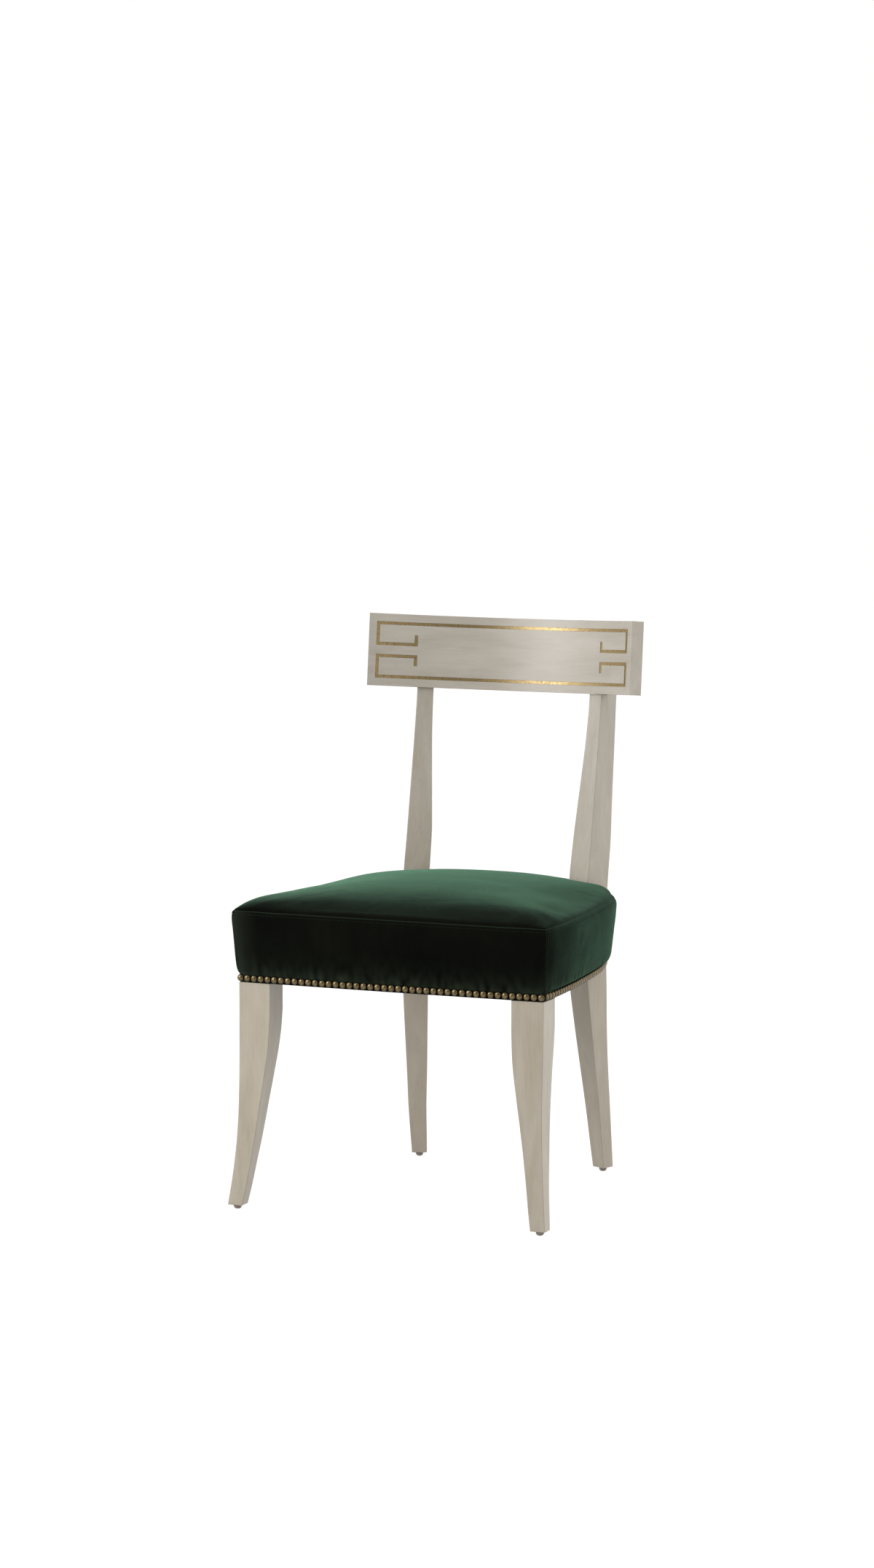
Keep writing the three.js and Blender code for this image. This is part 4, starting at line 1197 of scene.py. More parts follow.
class CHAIR_OT_rail_plugs(bpy.types.Operator):
    """Close the screw holes behind the rail with turned plugs"""
    bl_idname = "klismos.rail_plugs"
    bl_label = "Rail Plugs"

    def execute(self, context):
        scene = context.scene
        for level, share in zip(("upper", "lower"), PLUG_DROPS):
            plug = plug_rod(f"{level}_plug_right", share, PLUG_RADIUS, PLUG_LENGTH, PLUG_PROUD)
            with editing(plug):
                ease_edges(0.0004, 2)
            lay_grain(plug, lambda point: (point.x + 4.1, point.y, point.z))
            finish_pair(scene, plug, f"{level}_rail_plug")
        return {"FINISHED"}


class CHAIR_OT_glides(bpy.types.Operator):
    """Turn the four nylon glides and set them under the feet"""
    bl_idname = "klismos.glides"
    bl_label = "Glides"

    def execute(self, context):
        scene = context.scene
        bpy.ops.mesh.primitive_circle_add(vertices=28, radius=GLIDE_FOOT_RADIUS, fill_type="NGON")
        turned = bpy.context.object
        profile = (
            (GLIDE_FOOT_RADIUS, 0), (GLIDE_FOOT_RADIUS + 0.0007, 0.0003),
            (0.0050, 0.0013), (0.0059, 0.0026), (GLIDE_RADIUS, 0.0037), (GLIDE_RADIUS, 0.0056),
            (GLIDE_RADIUS - 0.0004, GLIDE_HEIGHT), (GLIDE_STEM_RADIUS, GLIDE_HEIGHT),
            (GLIDE_STEM_RADIUS, GLIDE_TOP - 0.0012), (GLIDE_STEM_RADIUS / 2, GLIDE_TOP),
        )
        with editing(turned):
            pick_all()
            for (radius, height), (wider, higher) in zip(profile, profile[1:]):
                extrude((0, 0, higher - height))
                resize((wider / radius, wider / radius, 1), (0, 0, higher))
            close_and_turn_out()
        for end in ("front", "rear"):
            for side in ("right", "left"):
                node = f"{end}_glide_{side}"
                middle = node_middle(node)
                glide = twin(turned, f"{end}_foot_{side}")
                placed(glide, Matrix.Translation((middle.x, middle.y, 0)))
                smooth(glide, 40)
                dress(glide, glide_nylon(scene), "glide_nylon", node)
        discard(turned)
        return {"FINISHED"}


class CHAIR_OT_seat(bpy.types.Operator):
    """Form the padded seat in its sewn velvet cover"""
    bl_idname = "klismos.seat"
    bl_label = "Seat"

    def execute(self, context):
        scene = context.scene
        seat = padded_seat(scene.chair_seat)
        with editing(seat):
            close_and_turn_out()
        for side in (1, -1):
            post = post_bar("clearance", 0, CLOTH_FIT)
            placed(post, Matrix.Diagonal((side, 1, 1, 1)))
            with editing(post):
                close_and_turn_out()
            carve(seat, post)
            discard(post)
        move_to_frame(seat)
        smooth(seat, 60, weighted=False)
        dress(seat, velvet(scene), "velvet", "seat_foam", "front_edge_wadding",
              "right_edge_wadding", "left_edge_wadding", "cover_top_panel",
              "cover_front_boxing", "cover_right_boxing", "cover_rear_boxing",
              "cover_left_boxing")
        return {"FINISHED"}


def seam_relief(drop, band):
    """How far the boxing stands out near the seam: a raised band between two rows of stitches."""
    depth, reach = STITCHED_GROOVE
    raised = BAND_RISE * (1 - abs(2 * drop / band - 1) ** 4) if 0 < drop < band else 0
    return raised - depth * bell(drop - band, reach)


def pinned_folds(travelled, rise):
    """Small gathers where the nails hold the cloth, fading upward."""
    depth, reach = NAIL_GATHER
    gather = ripple(travelled * 90, 3.1, 0) + 0.8 * ripple(travelled * 210, 8.4, 0)
    return depth * gather * math.exp(-rise / reach)


def post_nearness(point):
    """Distance in plan from a point to the nearer post's section at the seat."""
    corner = Vector((abs(point[0]), point[1])) - Vector(post_at(SEAM_HEIGHT)[:2])
    width, depth = post_at(SEAM_HEIGHT)[2:]
    inward, back = -corner.dot(POST_ACROSS), corner.dot(POST_REARWARD)
    across = max(-inward, inward - width, 0)
    behind = max(-back, back - depth, 0)
    return math.hypot(across, behind)


class PanelReach:
    """How far the top panel reaches from its centre, and how that rounds off away from the seam."""

    STEPS = 720

    def __init__(self, seam):
        edges = [edge - CROWN_CENTRE for edge in seam]
        turns = numpy.array([math.atan2(edge.y, edge.x) % math.tau for edge in edges])
        reaches = numpy.array([edge.length for edge in edges])
        order = numpy.argsort(turns)
        self.turns = numpy.arange(self.STEPS) * math.tau / self.STEPS
        self.reach = numpy.interp(self.turns, turns[order], reaches[order], period=math.tau)
        self.waves = numpy.fft.rfft(self.reach)

    def rounded(self, share):
        """Shares of the reach, by direction, once the corners are rounded for one ring."""
        blur = PANEL_BLUR * (1 - share) ** 0.5
        waves = self.waves * numpy.exp(-(numpy.arange(len(self.waves)) * blur) ** 2 / 2)
        shares = numpy.fft.irfft(waves, self.STEPS) / self.reach

        def read(edge):
            away = edge - CROWN_CENTRE
            return float(numpy.interp(math.atan2(away.y, away.x) % math.tau, self.turns, shares,
                                      period=math.tau))
        return read


def nail_places(name, trim):
    """Distances of the nails along one edge of the seat."""
    first, last = {
        "front": (FRONT_NAIL_MARGIN, FRONT_NAIL_MARGIN),
        "right": (SIDE_NAIL_START, SIDE_NAIL_END),
        "rear": (REAR_NAIL_MARGIN, REAR_NAIL_MARGIN),
        "left": (SIDE_NAIL_END, SIDE_NAIL_START),
    }[name]
    usable = EDGES[name].length - first - last
    steps = math.ceil(usable / trim.nail_pitch - 0.01)
    return [first + usable * step / steps for step in range(steps + 1)]


def corner_distance(along):
    """Distance along the cover from the nearer of the two vertical seams at the front."""
    whole = sum(edge.length for edge in EDGES.values())
    front = EDGES["front"].length
    return min((abs(along), along), (abs(along - whole), along - whole),
               (abs(along - front), front - along))[1]


def mitred(station, radius):
    """Which way the cloth stands out: at the front corners the two faces run on to their seam."""
    beyond = abs(corner_distance(station.along)) - radius
    front, right = EDGES["front"], EDGES["right"]
    ahead, aside = front.outward(front.length), right.outward(0)
    if station.point.x < 0:
        ahead, aside = Vector((-ahead.x, ahead.y)), Vector((-aside.x, aside.y))
    if beyond < -SMALL:
        return ahead + aside
    other = aside if station.edge == "front" else ahead
    return station.outward + other * bell(beyond, MITRE_REACH)


def post_tuck(near, tuck):
    """How far the cloth draws back beside a post."""
    depth, reach = tuck
    return depth * (1 - near / reach) ** 2 if near < reach else 0


class Cover:
    """The sewn cover's outer face: rings up the boxing, then rings in over the top panel."""

    SHARES = (0.9995, 0.9985, 0.997, 0.994, 0.99, 0.985, 0.978, 0.97, 0.96, 0.945, 0.93, 0.91,
              0.885, 0.855, 0.82, 0.78, 0.74, 0.69, 0.64, 0.585, 0.53, 0.47, 0.41, 0.35, 0.29,
              0.23, 0.17, 0.11, 0.055, 0.02)
    FRAMES, SEAM_HOLD, PRESSURE, CAP = 20, 0.5, 4, 0.006
    NEIGHBOURS, SOFTNESS = 12, 4e-5

    def __init__(self, settings):
        self.settings = settings
        self.band = settings.band_width
        self.stations = plan_stations(settings.corner_radius)
        self.count = len(self.stations)
        self.span = SEAM_HEIGHT - PINCH_HEIGHT
        drops = [self.span * (1 - step / 26) for step in range(24)]
        drops = [drop for drop in drops if drop > self.band + 0.0035]
        drops += [self.band + step for step in (
            0.003, 0.002, 0.0013, 0.0008, 0.0004, 0, -0.0004, -0.0008, -0.0014)]
        drops += [self.band * share for share in (0.55, 0.4, 0.27, 0.16, 0.08, 0.03)]
        self.drops = drops
        self.boxing = [[self.boxing_point(station, drop) for station in self.stations]
                       for drop in drops]
        self.seam = [self.swollen(station, 1) for station in self.stations]
        self.reach = PanelReach(self.seam)
        self.panel = [self.panel_ring(share) for share in self.SHARES]

    def swollen(self, station, rise):
        """A plan station pushed out by the boxing's swell at a share of its height."""
        settings = self.settings
        push = settings.corner_push * bell(corner_distance(station.along), 0.045)
        out = boxing_out(station.fullness, rise, settings.fullness) + push * min(rise / 0.1, 1)
        return station.point + mitred(station, settings.corner_radius) * out

    def boxing_point(self, station, drop):
        spot = self.swollen(station, 1 - drop / self.span)
        spot -= station.outward * post_tuck(post_nearness(spot), BOXING_POST_TUCK)
        return Vector((*spot, SEAM_HEIGHT - drop))

    def panel_ring(self, share):
        rounded = self.reach.rounded(share)
        ring = []
        for edge in self.seam:
            flat = CROWN_CENTRE + (edge - CROWN_CENTRE) * share * rounded(edge)
            height = SEAM_HEIGHT + PANEL_TOP_RISE
            height += crown_rise(flat, share, self.settings.crown_height)
            height -= post_tuck(post_nearness(flat), PANEL_POST_TUCK)
            ring.append(Vector((*flat, height)))
        return ring

    def lift(self, level, at):
        """How far the padding is expected to lift the cloth here, and which way."""
        rise = self.settings.cloth_rise
        if level < len(self.drops):
            up = min(1 - self.drops[level] / self.span, 1)
            outward = Vector((*self.stations[at].outward, 0))
            return outward * rise * 0.5 * math.sin(math.pi * up)
        share = self.SHARES[level - len(self.drops)]
        return Vector((0, 0, rise * (1 - share ** 2.5)))

    def rough_form(self, rings):
        """The closed cover in even cells, as it lies before the padding presses on it."""
        first, count = len(self.drops), self.count
        levels = [*range(0, first, 3), *range(first + 2, len(rings), 3)]
        shapes = [[Vector((*station.point, HEM_HEIGHT)) for station in self.stations]]
        shapes += [[rings[level][at] - self.lift(level, at) for at in range(count)]
                   for level in levels]
        faces = [(step * count + at, step * count + (at + 1) % count,
                  (step + 1) * count + (at + 1) % count, (step + 1) * count + at)
                 for step in range(len(shapes) - 1) for at in range(count)]
        faces.append([(len(shapes) - 1) * count + at for at in range(count)])
        faces.append([at for at in reversed(range(count))])
        mesh = bpy.data.meshes.new("cloth")
        mesh.from_pydata([spot for shape in shapes for spot in shape], [], faces)
        sheet = bpy.data.objects.new("cloth", mesh)
        bpy.context.scene.collection.objects.link(sheet)
        finish_modifier(sheet, "REMESH", mode="VOXEL", voxel_size=self.settings.cloth_cell)
        return sheet

    def hold(self, sheet, start):
        """Hold the cloth at its nails and at the posts, and by half along its seam."""
        held = sheet.vertex_groups.new(name="held")
        seam = kdtree.KDTree(self.count)
        for at, edge in enumerate(self.seam):
            seam.insert(Vector((*edge, SEAM_HEIGHT)), at)
        seam.balance()
        for index, spot in enumerate(start):
            if spot.z < PINCH_HEIGHT + 0.001 or post_nearness(spot) < BOXING_POST_TUCK[1]:
                held.add([index], 1.0, "REPLACE")
            elif seam.find(spot)[2] < self.settings.cloth_cell * 0.8:
                held.add([index], self.SEAM_HOLD, "REPLACE")

    def pressed_out(self, sheet, start):
        """Run the cloth under the padding's pressure, and give each point's movement."""
        only(sheet)
        bpy.ops.object.modifier_add(type="CLOTH")
        cloth = sheet.modifiers[-1]
        cloth.settings.quality = 4
        cloth.settings.vertex_group_mass = "held"
        cloth.settings.use_pressure = True
        cloth.settings.uniform_pressure_force = self.PRESSURE
        cloth.settings.effector_weights.gravity = 0
        cloth.point_cache.frame_start = 1
        cloth.point_cache.frame_end = self.FRAMES
        scene = bpy.context.scene
        for step in range(1, self.FRAMES + 1):
            scene.frame_set(step)
        shown = sheet.evaluated_get(bpy.context.evaluated_depsgraph_get())
        moved = [vertex.co - spot for vertex, spot in zip(shown.data.vertices, start)]
        scene.frame_set(1)
        return moved

    def swell(self):
        """Let the padding press the cloth out, and carry that over to the fine rings."""
        rings = self.boxing + self.panel
        sheet = self.rough_form(rings)
        start = [vertex.co.copy() for vertex in sheet.data.vertices]
        self.hold(sheet, start)
        moved = self.pressed_out(sheet, start)
        discard(sheet)
        near = kdtree.KDTree(len(start))
        for index, spot in enumerate(start):
            near.insert(spot, index)
            size = moved[index].length
            if size > SMALL:
                moved[index] *= self.CAP * math.tanh(size / self.CAP) / size
        near.balance()
        for level, ring in enumerate(rings):
            for at in range(self.count):
                spot = ring[at] - self.lift(level, at)
                total, shift = 0.0, Vector((0, 0, 0))
                for _, index, distance in near.find_n(spot, self.NEIGHBOURS):
                    weight = 1 / (distance * distance + self.SOFTNESS)
                    shift += moved[index] * weight
                    total += weight
                ring[at] = spot + shift / total

    def add_relief(self):
        """Sew the seams and pull the small gathers, once the cloth has its form."""
        for level, drop in enumerate(self.drops):
            rise = 1 - drop / self.span
            height = self.span - drop
            loose = min(rise * 6, 1) * min(drop / 0.006, 1)
            for at, station in enumerate(self.stations):
                out = seam_relief(drop, self.band) + pinned_folds(station.along, height)
                out += BOXING_WAVE * loose * ripple(station.along * 16, height * 22, 1.7)
                out += corner_seam(corner_distance(station.along)) * min(rise * 8, 1)
                self.boxing[level][at] += Vector((*station.outward, 0)) * out
        (sewn, sewn_reach), (pucker, pucker_reach) = PANEL_GROOVE, PANEL_PUCKER
        gather, gather_reach = CORNER_GATHER
        for level, share in enumerate(self.SHARES):
            for at, edge in enumerate(self.seam):
                spot = self.panel[level][at]
                from_seam = (1 - share) * (edge - CROWN_CENTRE).length
                along = self.stations[at].along
                spot.z -= sewn * math.exp(-from_seam / sewn_reach)
                spot.z += (PANEL_WAVE * min(from_seam / 0.05, 1)
                           * ripple(spot.x * 11, spot.y * 11, 5.2))
                spot.z += pucker * math.exp(-from_seam / pucker_reach) * ripple(along * 70, 0, 9.1)
                spot.z += (gather * bell(corner_distance(along), 0.02)
                           * math.exp(-from_seam / gather_reach) * ripple(along * 240, 3.3, 0.4))


def corner_seam(along):
    """The vertical seam at a front corner: a fine groove between two soft lips."""
    (depth, reach), (lip, lip_reach) = CORNER_GROOVE, CORNER_LIP
    return lip * bell(abs(along) - CORNER_LIP_PLACE, lip_reach) - depth * bell(along, reach)


def painted_light_at(spot, on_panel, station, radius):
    """How much painted light the velvet gets: painted shade over the front of the panel and the
    right of the boxing, painted light towards the left.
    """
    leftward = clamped(0.5 - spot.x / 0.4)
    if on_panel:
        deep = (spot.y + SEAT_FRONT_REACH) / mix(0.09, 0.03, leftward)
        return mix(0.26, mix(0.63, 1.0, leftward ** 3), soft_step(deep))
    beyond = corner_distance(station.along)
    back = 1 if spot.x < 0 else soft_step((abs(beyond) - radius) / 0.036)
    if station.edge == "front":
        rim = mix(0.72, 1.0, bell(beyond, 0.012))
        end = mix(0.18, rim, clamped((-spot.x - 0.02) / 0.22) ** 1.8)
        return mix(0.15, end, min(back * 4, 1))
    if spot.x > 0:
        return mix(0.20, 0.56, back)
    return mix(0.4, 1, clamped((SEAM_HEIGHT - spot.z) / 0.016))


def lining_rings(stations):
    """Rings from the deck outward, down inside the cover, under its hem and up to the nails."""
    leg_in = SEAT_WIDTH / 2 - FRONT_LEG_SIZE[0]
    leg_back = FRONT_LEG_SIZE[1] - SEAT_FRONT_REACH
    deck = DECK_TOP_HEIGHT + CLOTH_FIT
    fold = HEM_HEIGHT + 0.00135

    def turned_under(station):
        spot = station.point - station.outward * 0.014
        over_leg = abs(spot.x) > leg_in - 0.002 and spot.y < leg_back + 0.002
        return -CLOTH_THICKNESS if over_leg or post_nearness(spot) < 0.002 else -0.014

    def ring(height, out_at):
        return [Vector((*(station.point + station.outward * out_at(station)), height))
                for station in stations]

    rings = [[Vector((*CROWN_CENTRE.lerp(station.point, share), deck)) for station in stations]
             for share in (0.25, 0.6, 0.9)]
    rings += [ring(height, lambda station: -CLOTH_THICKNESS - 0.0001)
              for height in (deck, 0.400, 0.372, fold)]
    rings += [ring(height, turned_under) for height in (fold, HEM_HEIGHT + 0.0002)]
    rings += [ring(HEM_HEIGHT + rise, lambda station: out) for out, rise in (
        (-0.0009, 0), (-0.0003, 0.0002), (0, 0.0009), (0, 0.003), (0, 0.0065), (0, 0.0095))]
    return rings


def mark_stitches_and_light(mesh, cover, points, first_boxing, first_panel):
    """Write where the cloth is sewn, its painted highlights on the seams and on the gathers above
    the nails, and the painted light map of the velvet.
    """
    stations, count, radius = cover.stations, cover.count, cover.settings.corner_radius
    stitches = mesh.attributes.new("stitches", "FLOAT", "POINT")
    nap = mesh.attributes.new("nap", "FLOAT", "POINT")
    # Painted light and shade for every point of the velvet.
    for index, spot in enumerate(points):
        nap.data[index].value = painted_light_at(spot, index >= first_panel, stations[index % count], radius)
    for level, drop in enumerate(cover.drops):
        height = cover.span - drop
        for step, station in enumerate(stations):
            along = station.along
            dashed = bell(drop - cover.band, 0.0006) * (
                0.6 + 0.4 * math.cos(along * math.tau / STITCH_PITCH))
            upright = bell(corner_distance(along), 0.0009) * min(max(height, 0) / 0.006, 1)
            gather_highlight = math.exp(-height / NAIL_GATHER[1]) * (
                0.7 + ripple(along * 120, drop * 60, 7))
            # The dashed stitches are thread; the seam line, the corner seams and the gathers above
            # the nails are painted highlights.
            stitches.data[first_boxing + level * count + step].value = max(
                0.25 * dashed, 0.5 * bell(drop, 0.0005), 0.5 * upright, 0.4 * gather_highlight)


def lay_cloth(mesh, cover, points, first_panel, first_pole):
    """Lay the cloth flat: by distance round the boxing, and from above on the panel."""
    whole = sum(edge.length for edge in EDGES.values())
    count = cover.count
    cloth = mesh.uv_layers.new(name="cloth")
    for face in mesh.polygons:
        corners = [mesh.loops[at].vertex_index for at in face.loop_indices]
        wraps = any(index % count == count - 1 for index in corners)
        for at, index in zip(face.loop_indices, corners):
            spot = points[index]
            if min(corners) >= first_panel or index >= first_pole:
                cloth.data[at].uv = (spot.x + 5, spot.y)
            else:
                beyond = whole if wraps and index % count == 0 else 0
                cloth.data[at].uv = (cover.stations[index % count].along + beyond, spot.z)


def padded_seat(settings):
    cover = Cover(settings)
    cover.swell()
    cover.add_relief()
    stations, count = cover.stations, cover.count
    rings = lining_rings(stations)
    first_boxing = len(rings) * count
    rings += cover.boxing
    first_panel = len(rings) * count
    rings.append([Vector((*(edge - station.outward * 0.0016), SEAM_HEIGHT + 0.0004))
                  for edge, station in zip(cover.seam, stations)])
    rings += cover.panel
    points = [point for ring in rings for point in ring]
    last = len(points) - count
    points.append(Vector((*CROWN_CENTRE, DECK_TOP_HEIGHT + CLOTH_FIT)))
    points.append(sum(rings[-1], Vector((0, 0, 0))) / count)
    faces = []
    for level in range(len(rings) - 1):
        for step in range(count):
            a, b = level * count + step, level * count + (step + 1) % count
            faces.append((a, b, b + count, a + count))
    for step in range(count):
        following = (step + 1) % count
        faces.append((following, step, len(points) - 2))
        faces.append((last + step, last + following, len(points) - 1))
    mesh = bpy.data.meshes.new("padded_seat")
    mesh.from_pydata(points, [], faces)
    mark_stitches_and_light(mesh, cover, points, first_boxing, first_panel)
    lay_cloth(mesh, cover, points, first_panel, last + count)
    piece = bpy.data.objects.new("padded_seat", mesh)
    bpy.context.scene.collection.objects.link(piece)
    return piece


class CHAIR_OT_nails(bpy.types.Operator):
    """Drive a close row of domed nails along each edge of the seat"""
    bl_idname = "klismos.nails"
    bl_label = "Nails"

    def execute(self, context):
        scene = context.scene
        trim = scene.chair_trim
        radius = trim.nail_width / 2
        bpy.ops.mesh.primitive_uv_sphere_add(segments=trim.nail_segments, ring_count=8,
                                             radius=radius)
        head = bpy.context.object
        with editing(head):
            pick("VERT", lambda vertex: vertex.co.z < -SMALL)
            bpy.ops.mesh.delete(type="VERT")
            pick_all("VERT")
            resize((1, 1, (trim.nail_height - NAIL_SKIRT) / radius), (0, 0, 0))
            bpy.ops.transform.translate(value=(0, 0, NAIL_SKIRT))
            pick("EDGE", lambda edge: edge.is_boundary)
            extrude((0, 0, -NAIL_SKIRT))
            bpy.ops.mesh.edge_face_add()
            close_and_turn_out()
        # Height on the dome, from 0 at the rim to 1 at the top, which sets the tarnish and painted
        # shade at the rim.
        polished = head.data.attributes.new("polished", "FLOAT", "POINT")
        for vertex in head.data.vertices:
            polished.data[vertex.index].value = vertex.co.z / trim.nail_height
        for order, name in enumerate(EDGE_ORDER):
            edge = EDGES[name]
            nails = []
            for step, distance in enumerate(nail_places(name, trim)):
                point, along = edge.at(distance)
                outward = edge.outward(distance)
                wander = Vector((step * 1.37, order * 7.7, 0.5))
                point = (point + outward * CLOTH_FIT
                         + along * NAIL_WANDER * noise.noise(wander))
                lift = NAIL_WANDER * noise.noise(wander + Vector((0, 0, 9)))
                turn = Matrix(((along.x, 0, outward.x, point.x), (along.y, 0, outward.y, point.y),
                               (0, 1, 0, NAIL_LINE_HEIGHT + lift), (0, 0, 0, 1)))
                tip = (Matrix.Rotation(NAIL_TIP * noise.noise(wander * 1.9), 4, "X")
                       @ Matrix.Rotation(NAIL_TIP * noise.noise(wander * 2.7), 4, "Y")
                       @ Matrix.Rotation(step * 0.37, 4, "Z")
                       @ Matrix.Scale(0.985 + 0.012 * noise.noise(wander * 3.3), 4))
                nails.append(placed(twin(head, "nail"), turn @ tip))
            only(nails[0])
            for nail in nails:
                nail.select_set(True)
            bpy.ops.object.join()
            row = named(f"{name}_nails")
            with editing(row):
                pick_all()
                bpy.ops.mesh.normals_make_consistent(inside=False)
            move_to_frame(row)
            smooth(row, 50, weighted=False)
            dress(row, aged_brass(scene), "aged_brass", f"{name}_nail_row")
        discard(head)
        return {"FINISHED"}


def dust_outline():
    """Outline of the dust cover on the right half: round the front leg and the post."""
    leg_in = SEAT_WIDTH / 2 - FRONT_LEG_SIZE[0] - DUST_GAP
    leg_back = -SEAT_FRONT_REACH + FRONT_LEG_SIZE[1] + DUST_GAP
    front, side, rear = EDGES["front"], EDGES["right"], EDGES["rear"]

    def inset(edge, start, end, count):
        for step in range(count):
            distance = mix(start, end, step / (count - 1)) * edge.length
            yield edge.at(distance)[0] - edge.outward(distance) * DUST_INSET

    outline = [spot for spot in inset(front, 0.5, 1, 25) if spot.x < leg_in]
    outline.append(Vector((leg_in, outline[-1].y)))
    outline.append(Vector((leg_in, leg_back)))
    width, depth = post_at(FRAME_BOTTOM_HEIGHT)[2:]
    section = [post_point(FRAME_BOTTOM_HEIGHT, inward, back) for inward, back in (
        (-DUST_GAP, -DUST_GAP), (width + DUST_GAP, -DUST_GAP), (width + DUST_GAP, depth - 0.016))]
    flank = [spot for spot in inset(side, 0, 1, 80)
             if leg_back < spot.y <= section[0].y - 0.002]
    outline.append(Vector((flank[0].x, leg_back)))
    outline += flank + section
    outline += [spot for spot in inset(rear, 0, 0.5, 25) if SMALL < spot.x < section[2].x - 0.004]
    return outline


class CHAIR_OT_dust_cover(bpy.types.Operator):
    """Stretch black cambric under the frame, sagging a little between its tacks"""
    bl_idname = "klismos.dust_cover"
    bl_label = "Dust Cover"

    def execute(self, context):
        scene = context.scene
        right = dust_outline()
        left = [Vector((-spot.x, spot.y)) for spot in reversed(right) if spot.x > 0.002]
        outline = right + left
        spaced = []
        for here, there in zip(outline, outline[1:] + outline[:1]):
            pieces = max(round((there - here).length / 0.009), 1)
            spaced += [here + (there - here) * step / pieces for step in range(pieces)]
        count = len(spaced)
        inner = [Vector((x * DUST_CELL, y * DUST_CELL)) for x in range(-24, 25)
                 for y in range(-23, 26)]
        inner = [spot for spot in inner
                 if is_inside(spot, spaced) and border_distance(spot, spaced) > DUST_CELL / 2]
        border = [(step, (step + 1) % count) for step in range(count)]
        points, _, faces = geometry.delaunay_2d_cdt(spaced + inner, border, [], 1, 1e-7)[:3]
        under = FRAME_BOTTOM_HEIGHT - CLOTH_FIT
        placed_points = []
        for x, y in points:
            deep = border_distance(Vector((x, y)), spaced)
            sag = DUST_SAG * (1 - math.exp(-(deep / 0.045) ** 1.6))
            sag += 0.0006 * min(deep / 0.03, 1) * ripple(x * 14, y * 14, 4)
            pulls = 0.0006 * math.exp(-deep / 0.02) * abs(ripple(x * 60, y * 60, 2.0))
            placed_points.append((x, y, under - sag - pulls - 0.0003))
        mesh = bpy.data.meshes.new("dust_cover")
        mesh.from_pydata(placed_points, [], faces)
        sheet = bpy.data.objects.new("black_dust_cover", mesh)
        scene.collection.objects.link(sheet)
        with editing(sheet):
            close_and_turn_out()
        finish_modifier(sheet, "SOLIDIFY", thickness=DUST_THICKNESS, offset=0)
        move_to_frame(sheet)
        smooth(sheet, 60, weighted=False)
        dress(sheet, black_cambric(scene), "black_cloth", "dust_cover")
        area = sum(face.area for face in sheet.data.polygons) / 2
        return {"FINISHED"}


def is_inside(spot, outline):
    """Whether a point lies inside a closed outline."""
    inside = False
    for here, there in zip(outline, outline[1:] + outline[:1]):
        if (here.y > spot.y) != (there.y > spot.y):
            crossing = here.x + (spot.y - here.y) / (there.y - here.y) * (there.x - here.x)
            if spot.x < crossing:
                inside = not inside
    return inside


def border_distance(spot, outline):
    nearest = 1.0
    for here, there in zip(outline, outline[1:] + outline[:1]):
        share = clamped(geometry.intersect_point_line(spot, here, there)[1])
        nearest = min(nearest, (here + (there - here) * share - spot).length)
    return nearest


class CHAIR_OT_seat_frame(bpy.types.Operator):
    """Give the wooden frame inside the seat its own finish"""
    bl_idname = "klismos.seat_frame"
    bl_label = "Seat Frame"

    def execute(self, context):
        material = frame_wood(context.scene)
        for name in ("front_seat_rail", "side_seat_rail_right", "side_seat_rail_left",
                     "rear_seat_rail", "front_corner_block_right", "front_corner_block_left",
                     "seat_deck"):
            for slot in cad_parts[name].material_slots:
                slot.material = material
        return {"FINISHED"}


class CHAIR_OT_stage(bpy.types.Operator):
    """Set up the floor, the room, the lamps and the camera"""
    bl_idname = "klismos.stage"
    bl_label = "Stage"

    def execute(self, context):
        scene = context.scene
        stage = scene.chair_stage
        bpy.ops.mesh.primitive_plane_add(size=FLOOR_SIZE)
        floor = named("floor")
        floor.data.materials.append(floor_finish(stage))
        self.light_room(scene, stage)
        for name, (place, size, power) in LAMPS.items():
            self.lamp(name, Vector(place), size, getattr(stage, power))
        scene.view_settings.view_transform = "Standard"
        self.set_camera(scene)
        return {"FINISHED"}

    def lamp(self, name, place, size, power):
        bpy.ops.object.light_add(type="AREA", location=place)
        lamp = named(name)
        lamp.data.energy = power
        lamp.data.shape = "DISK"
        lamp.data.size = size
        towards = Vector(LAMP_AIM) - place
        lamp.rotation_euler = towards.to_track_quat("-Z", "Y").to_euler()

    def light_room(self, scene, stage):
        """A white room, darker before the chair, that stays white to the camera."""
        scene.world = bpy.data.worlds.new("room")
        room = Nodes(scene.world)
        direction = room.node("TexCoord").outputs["Generated"]
        rearward = room.node("SeparateXYZ", {0: direction}).outputs["Y"]
        level = room.range(rearward, -0.5, 0.4, stage.room_dark, stage.room_light, "SMOOTHSTEP")
        mirrored = room.range(rearward, -1, -0.75, stage.room_mirrored, 1, "SMOOTHSTEP")
        shown, seen = room.seen()
        lit = room.node("Background", {"Color": (1, 1, 1), "Strength": level})
        white = room.node("Background", {
            "Color": (1, 1, 1), "Strength": room.maths("MAXIMUM", shown, mirrored)})
        choose = room.node("MixShader", {0: seen, 1: lit.outputs[0], 2: white.outputs[0]})
        room.node("OutputWorld", {"Surface": choose.outputs[0]})

    def set_camera(self, scene):
        bpy.ops.object.camera_add(location=Vector(CAMERA_PLACE) + Vector((0, ZERO_Y, 0)))
        camera = named("camera")
        camera.rotation_euler = CAMERA_TURN
        camera.data.sensor_width = 36
        camera.data.lens = CAMERA_LENS
        camera.data.clip_end = 60
        scene.camera = camera


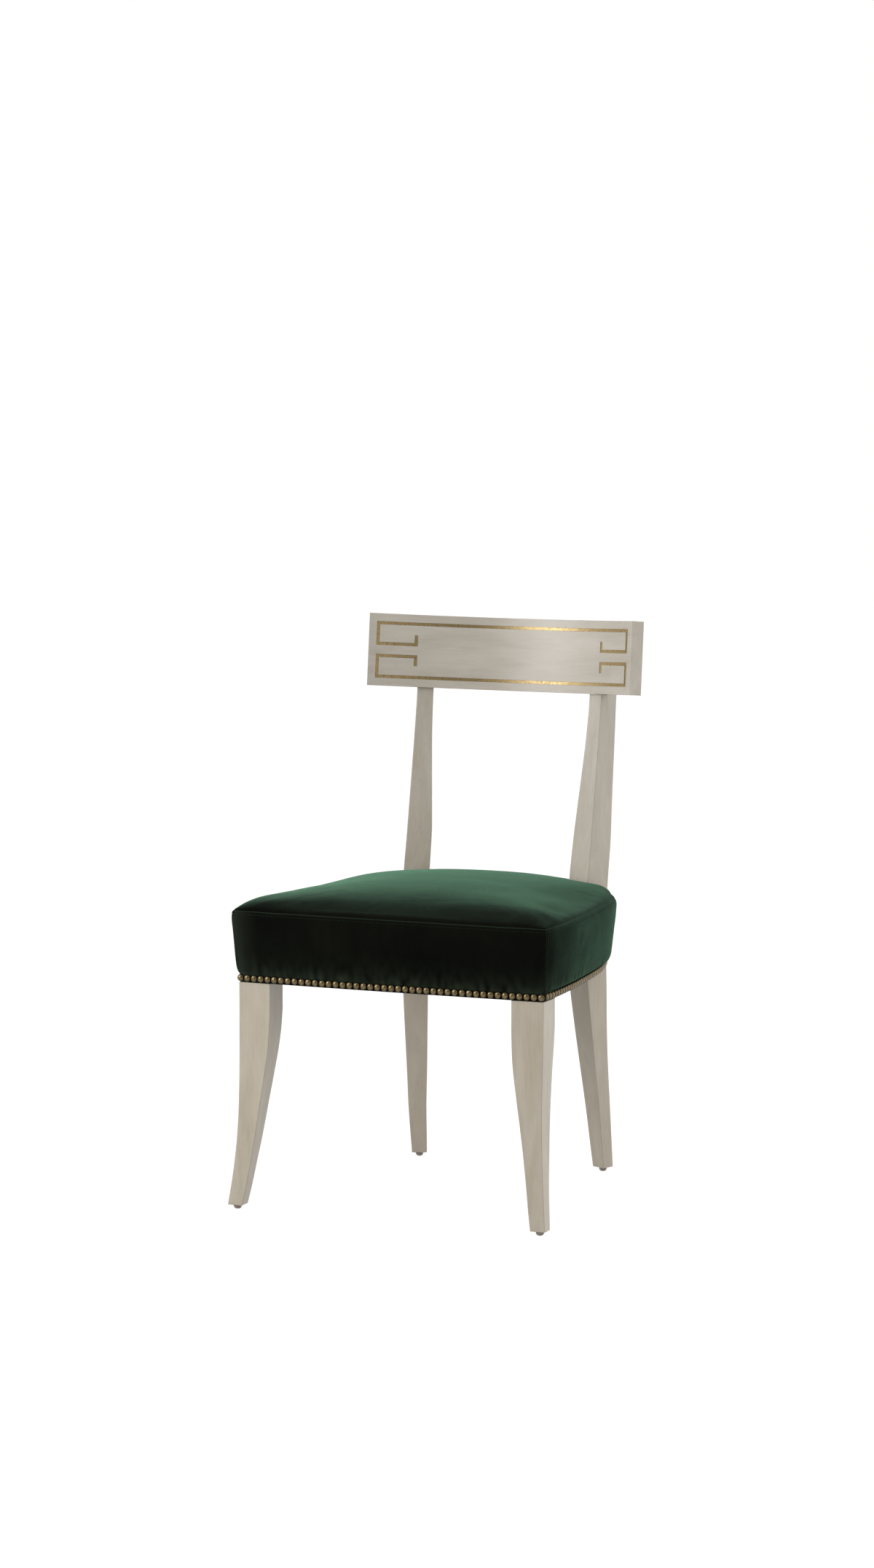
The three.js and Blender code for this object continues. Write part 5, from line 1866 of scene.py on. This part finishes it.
def floor_finish(stage):
    """A pale floor that stays white to the camera and keeps a soft shadow."""
    finish = Finish("studio_floor")
    bounce, shadow = (tuple(share * channel for channel in stage.floor)
                      for share in (FLOOR_BOUNCE, FLOOR_SHADE))
    finish.set(base=bounce, rough=0.9, specular=0.0)
    shade = finish.node("BsdfDiffuse", {"Color": shadow})
    glow = finish.node("Emission", {"Color": (1, 1, 1), "Strength": FLOOR_GLOW})
    both = finish.node("AddShader", {0: glow.outputs[0], 1: shade.outputs[0]})
    choose = finish.node("MixShader", {
        0: finish.seen()[1], 1: finish.shader.outputs[0], 2: both.outputs[0]})
    finish.feed(finish.output.inputs["Surface"], choose.outputs[0])
    return finish.material


class CHAIR_PT_panel(bpy.types.Panel):
    """The chair's settings and the steps that make it"""
    bl_idname = "CHAIR_PT_panel"
    bl_label = "Klismos Chair"
    bl_space_type = "VIEW_3D"
    bl_region_type = "UI"
    bl_category = "Chair"

    def draw(self, context):
        layout = self.layout
        for group in SETTINGS:
            box = layout.box()
            settings = getattr(context.scene, group)
            for name in settings.__annotations__:
                box.prop(settings, name)
        for step in STEPS:
            layout.operator(step.bl_idname)


SETTINGS = {
    "chair_wood": ChairWoodSettings,
    "chair_key": ChairKeySettings,
    "chair_seat": ChairSeatSettings,
    "chair_trim": ChairTrimSettings,
    "chair_stage": ChairStageSettings,
}
STEPS = (
    CHAIR_OT_stage,
    CHAIR_OT_seat_frame,
    CHAIR_OT_front_legs,
    CHAIR_OT_rear_legs,
    CHAIR_OT_back_rail,
    CHAIR_OT_key_lines,
    CHAIR_OT_rail_plugs,
    CHAIR_OT_glides,
    CHAIR_OT_seat,
    CHAIR_OT_nails,
    CHAIR_OT_dust_cover,
)


def register():
    for name, group in SETTINGS.items():
        bpy.utils.register_class(group)
        setattr(bpy.types.Scene, name, PointerProperty(type=group))
    for step in STEPS:
        bpy.utils.register_class(step)
    bpy.utils.register_class(CHAIR_PT_panel)


def unregister():
    bpy.utils.unregister_class(CHAIR_PT_panel)
    for step in reversed(STEPS):
        bpy.utils.unregister_class(step)
    for name, group in reversed(SETTINGS.items()):
        delattr(bpy.types.Scene, name)
        bpy.utils.unregister_class(group)


def main():
    register()
    bpy.ops.object.select_all(action="DESELECT")
    for step in STEPS:
        group, action = step.bl_idname.split(".")
        getattr(getattr(bpy.ops, group), action)()


if __name__ == "__main__":
    main()
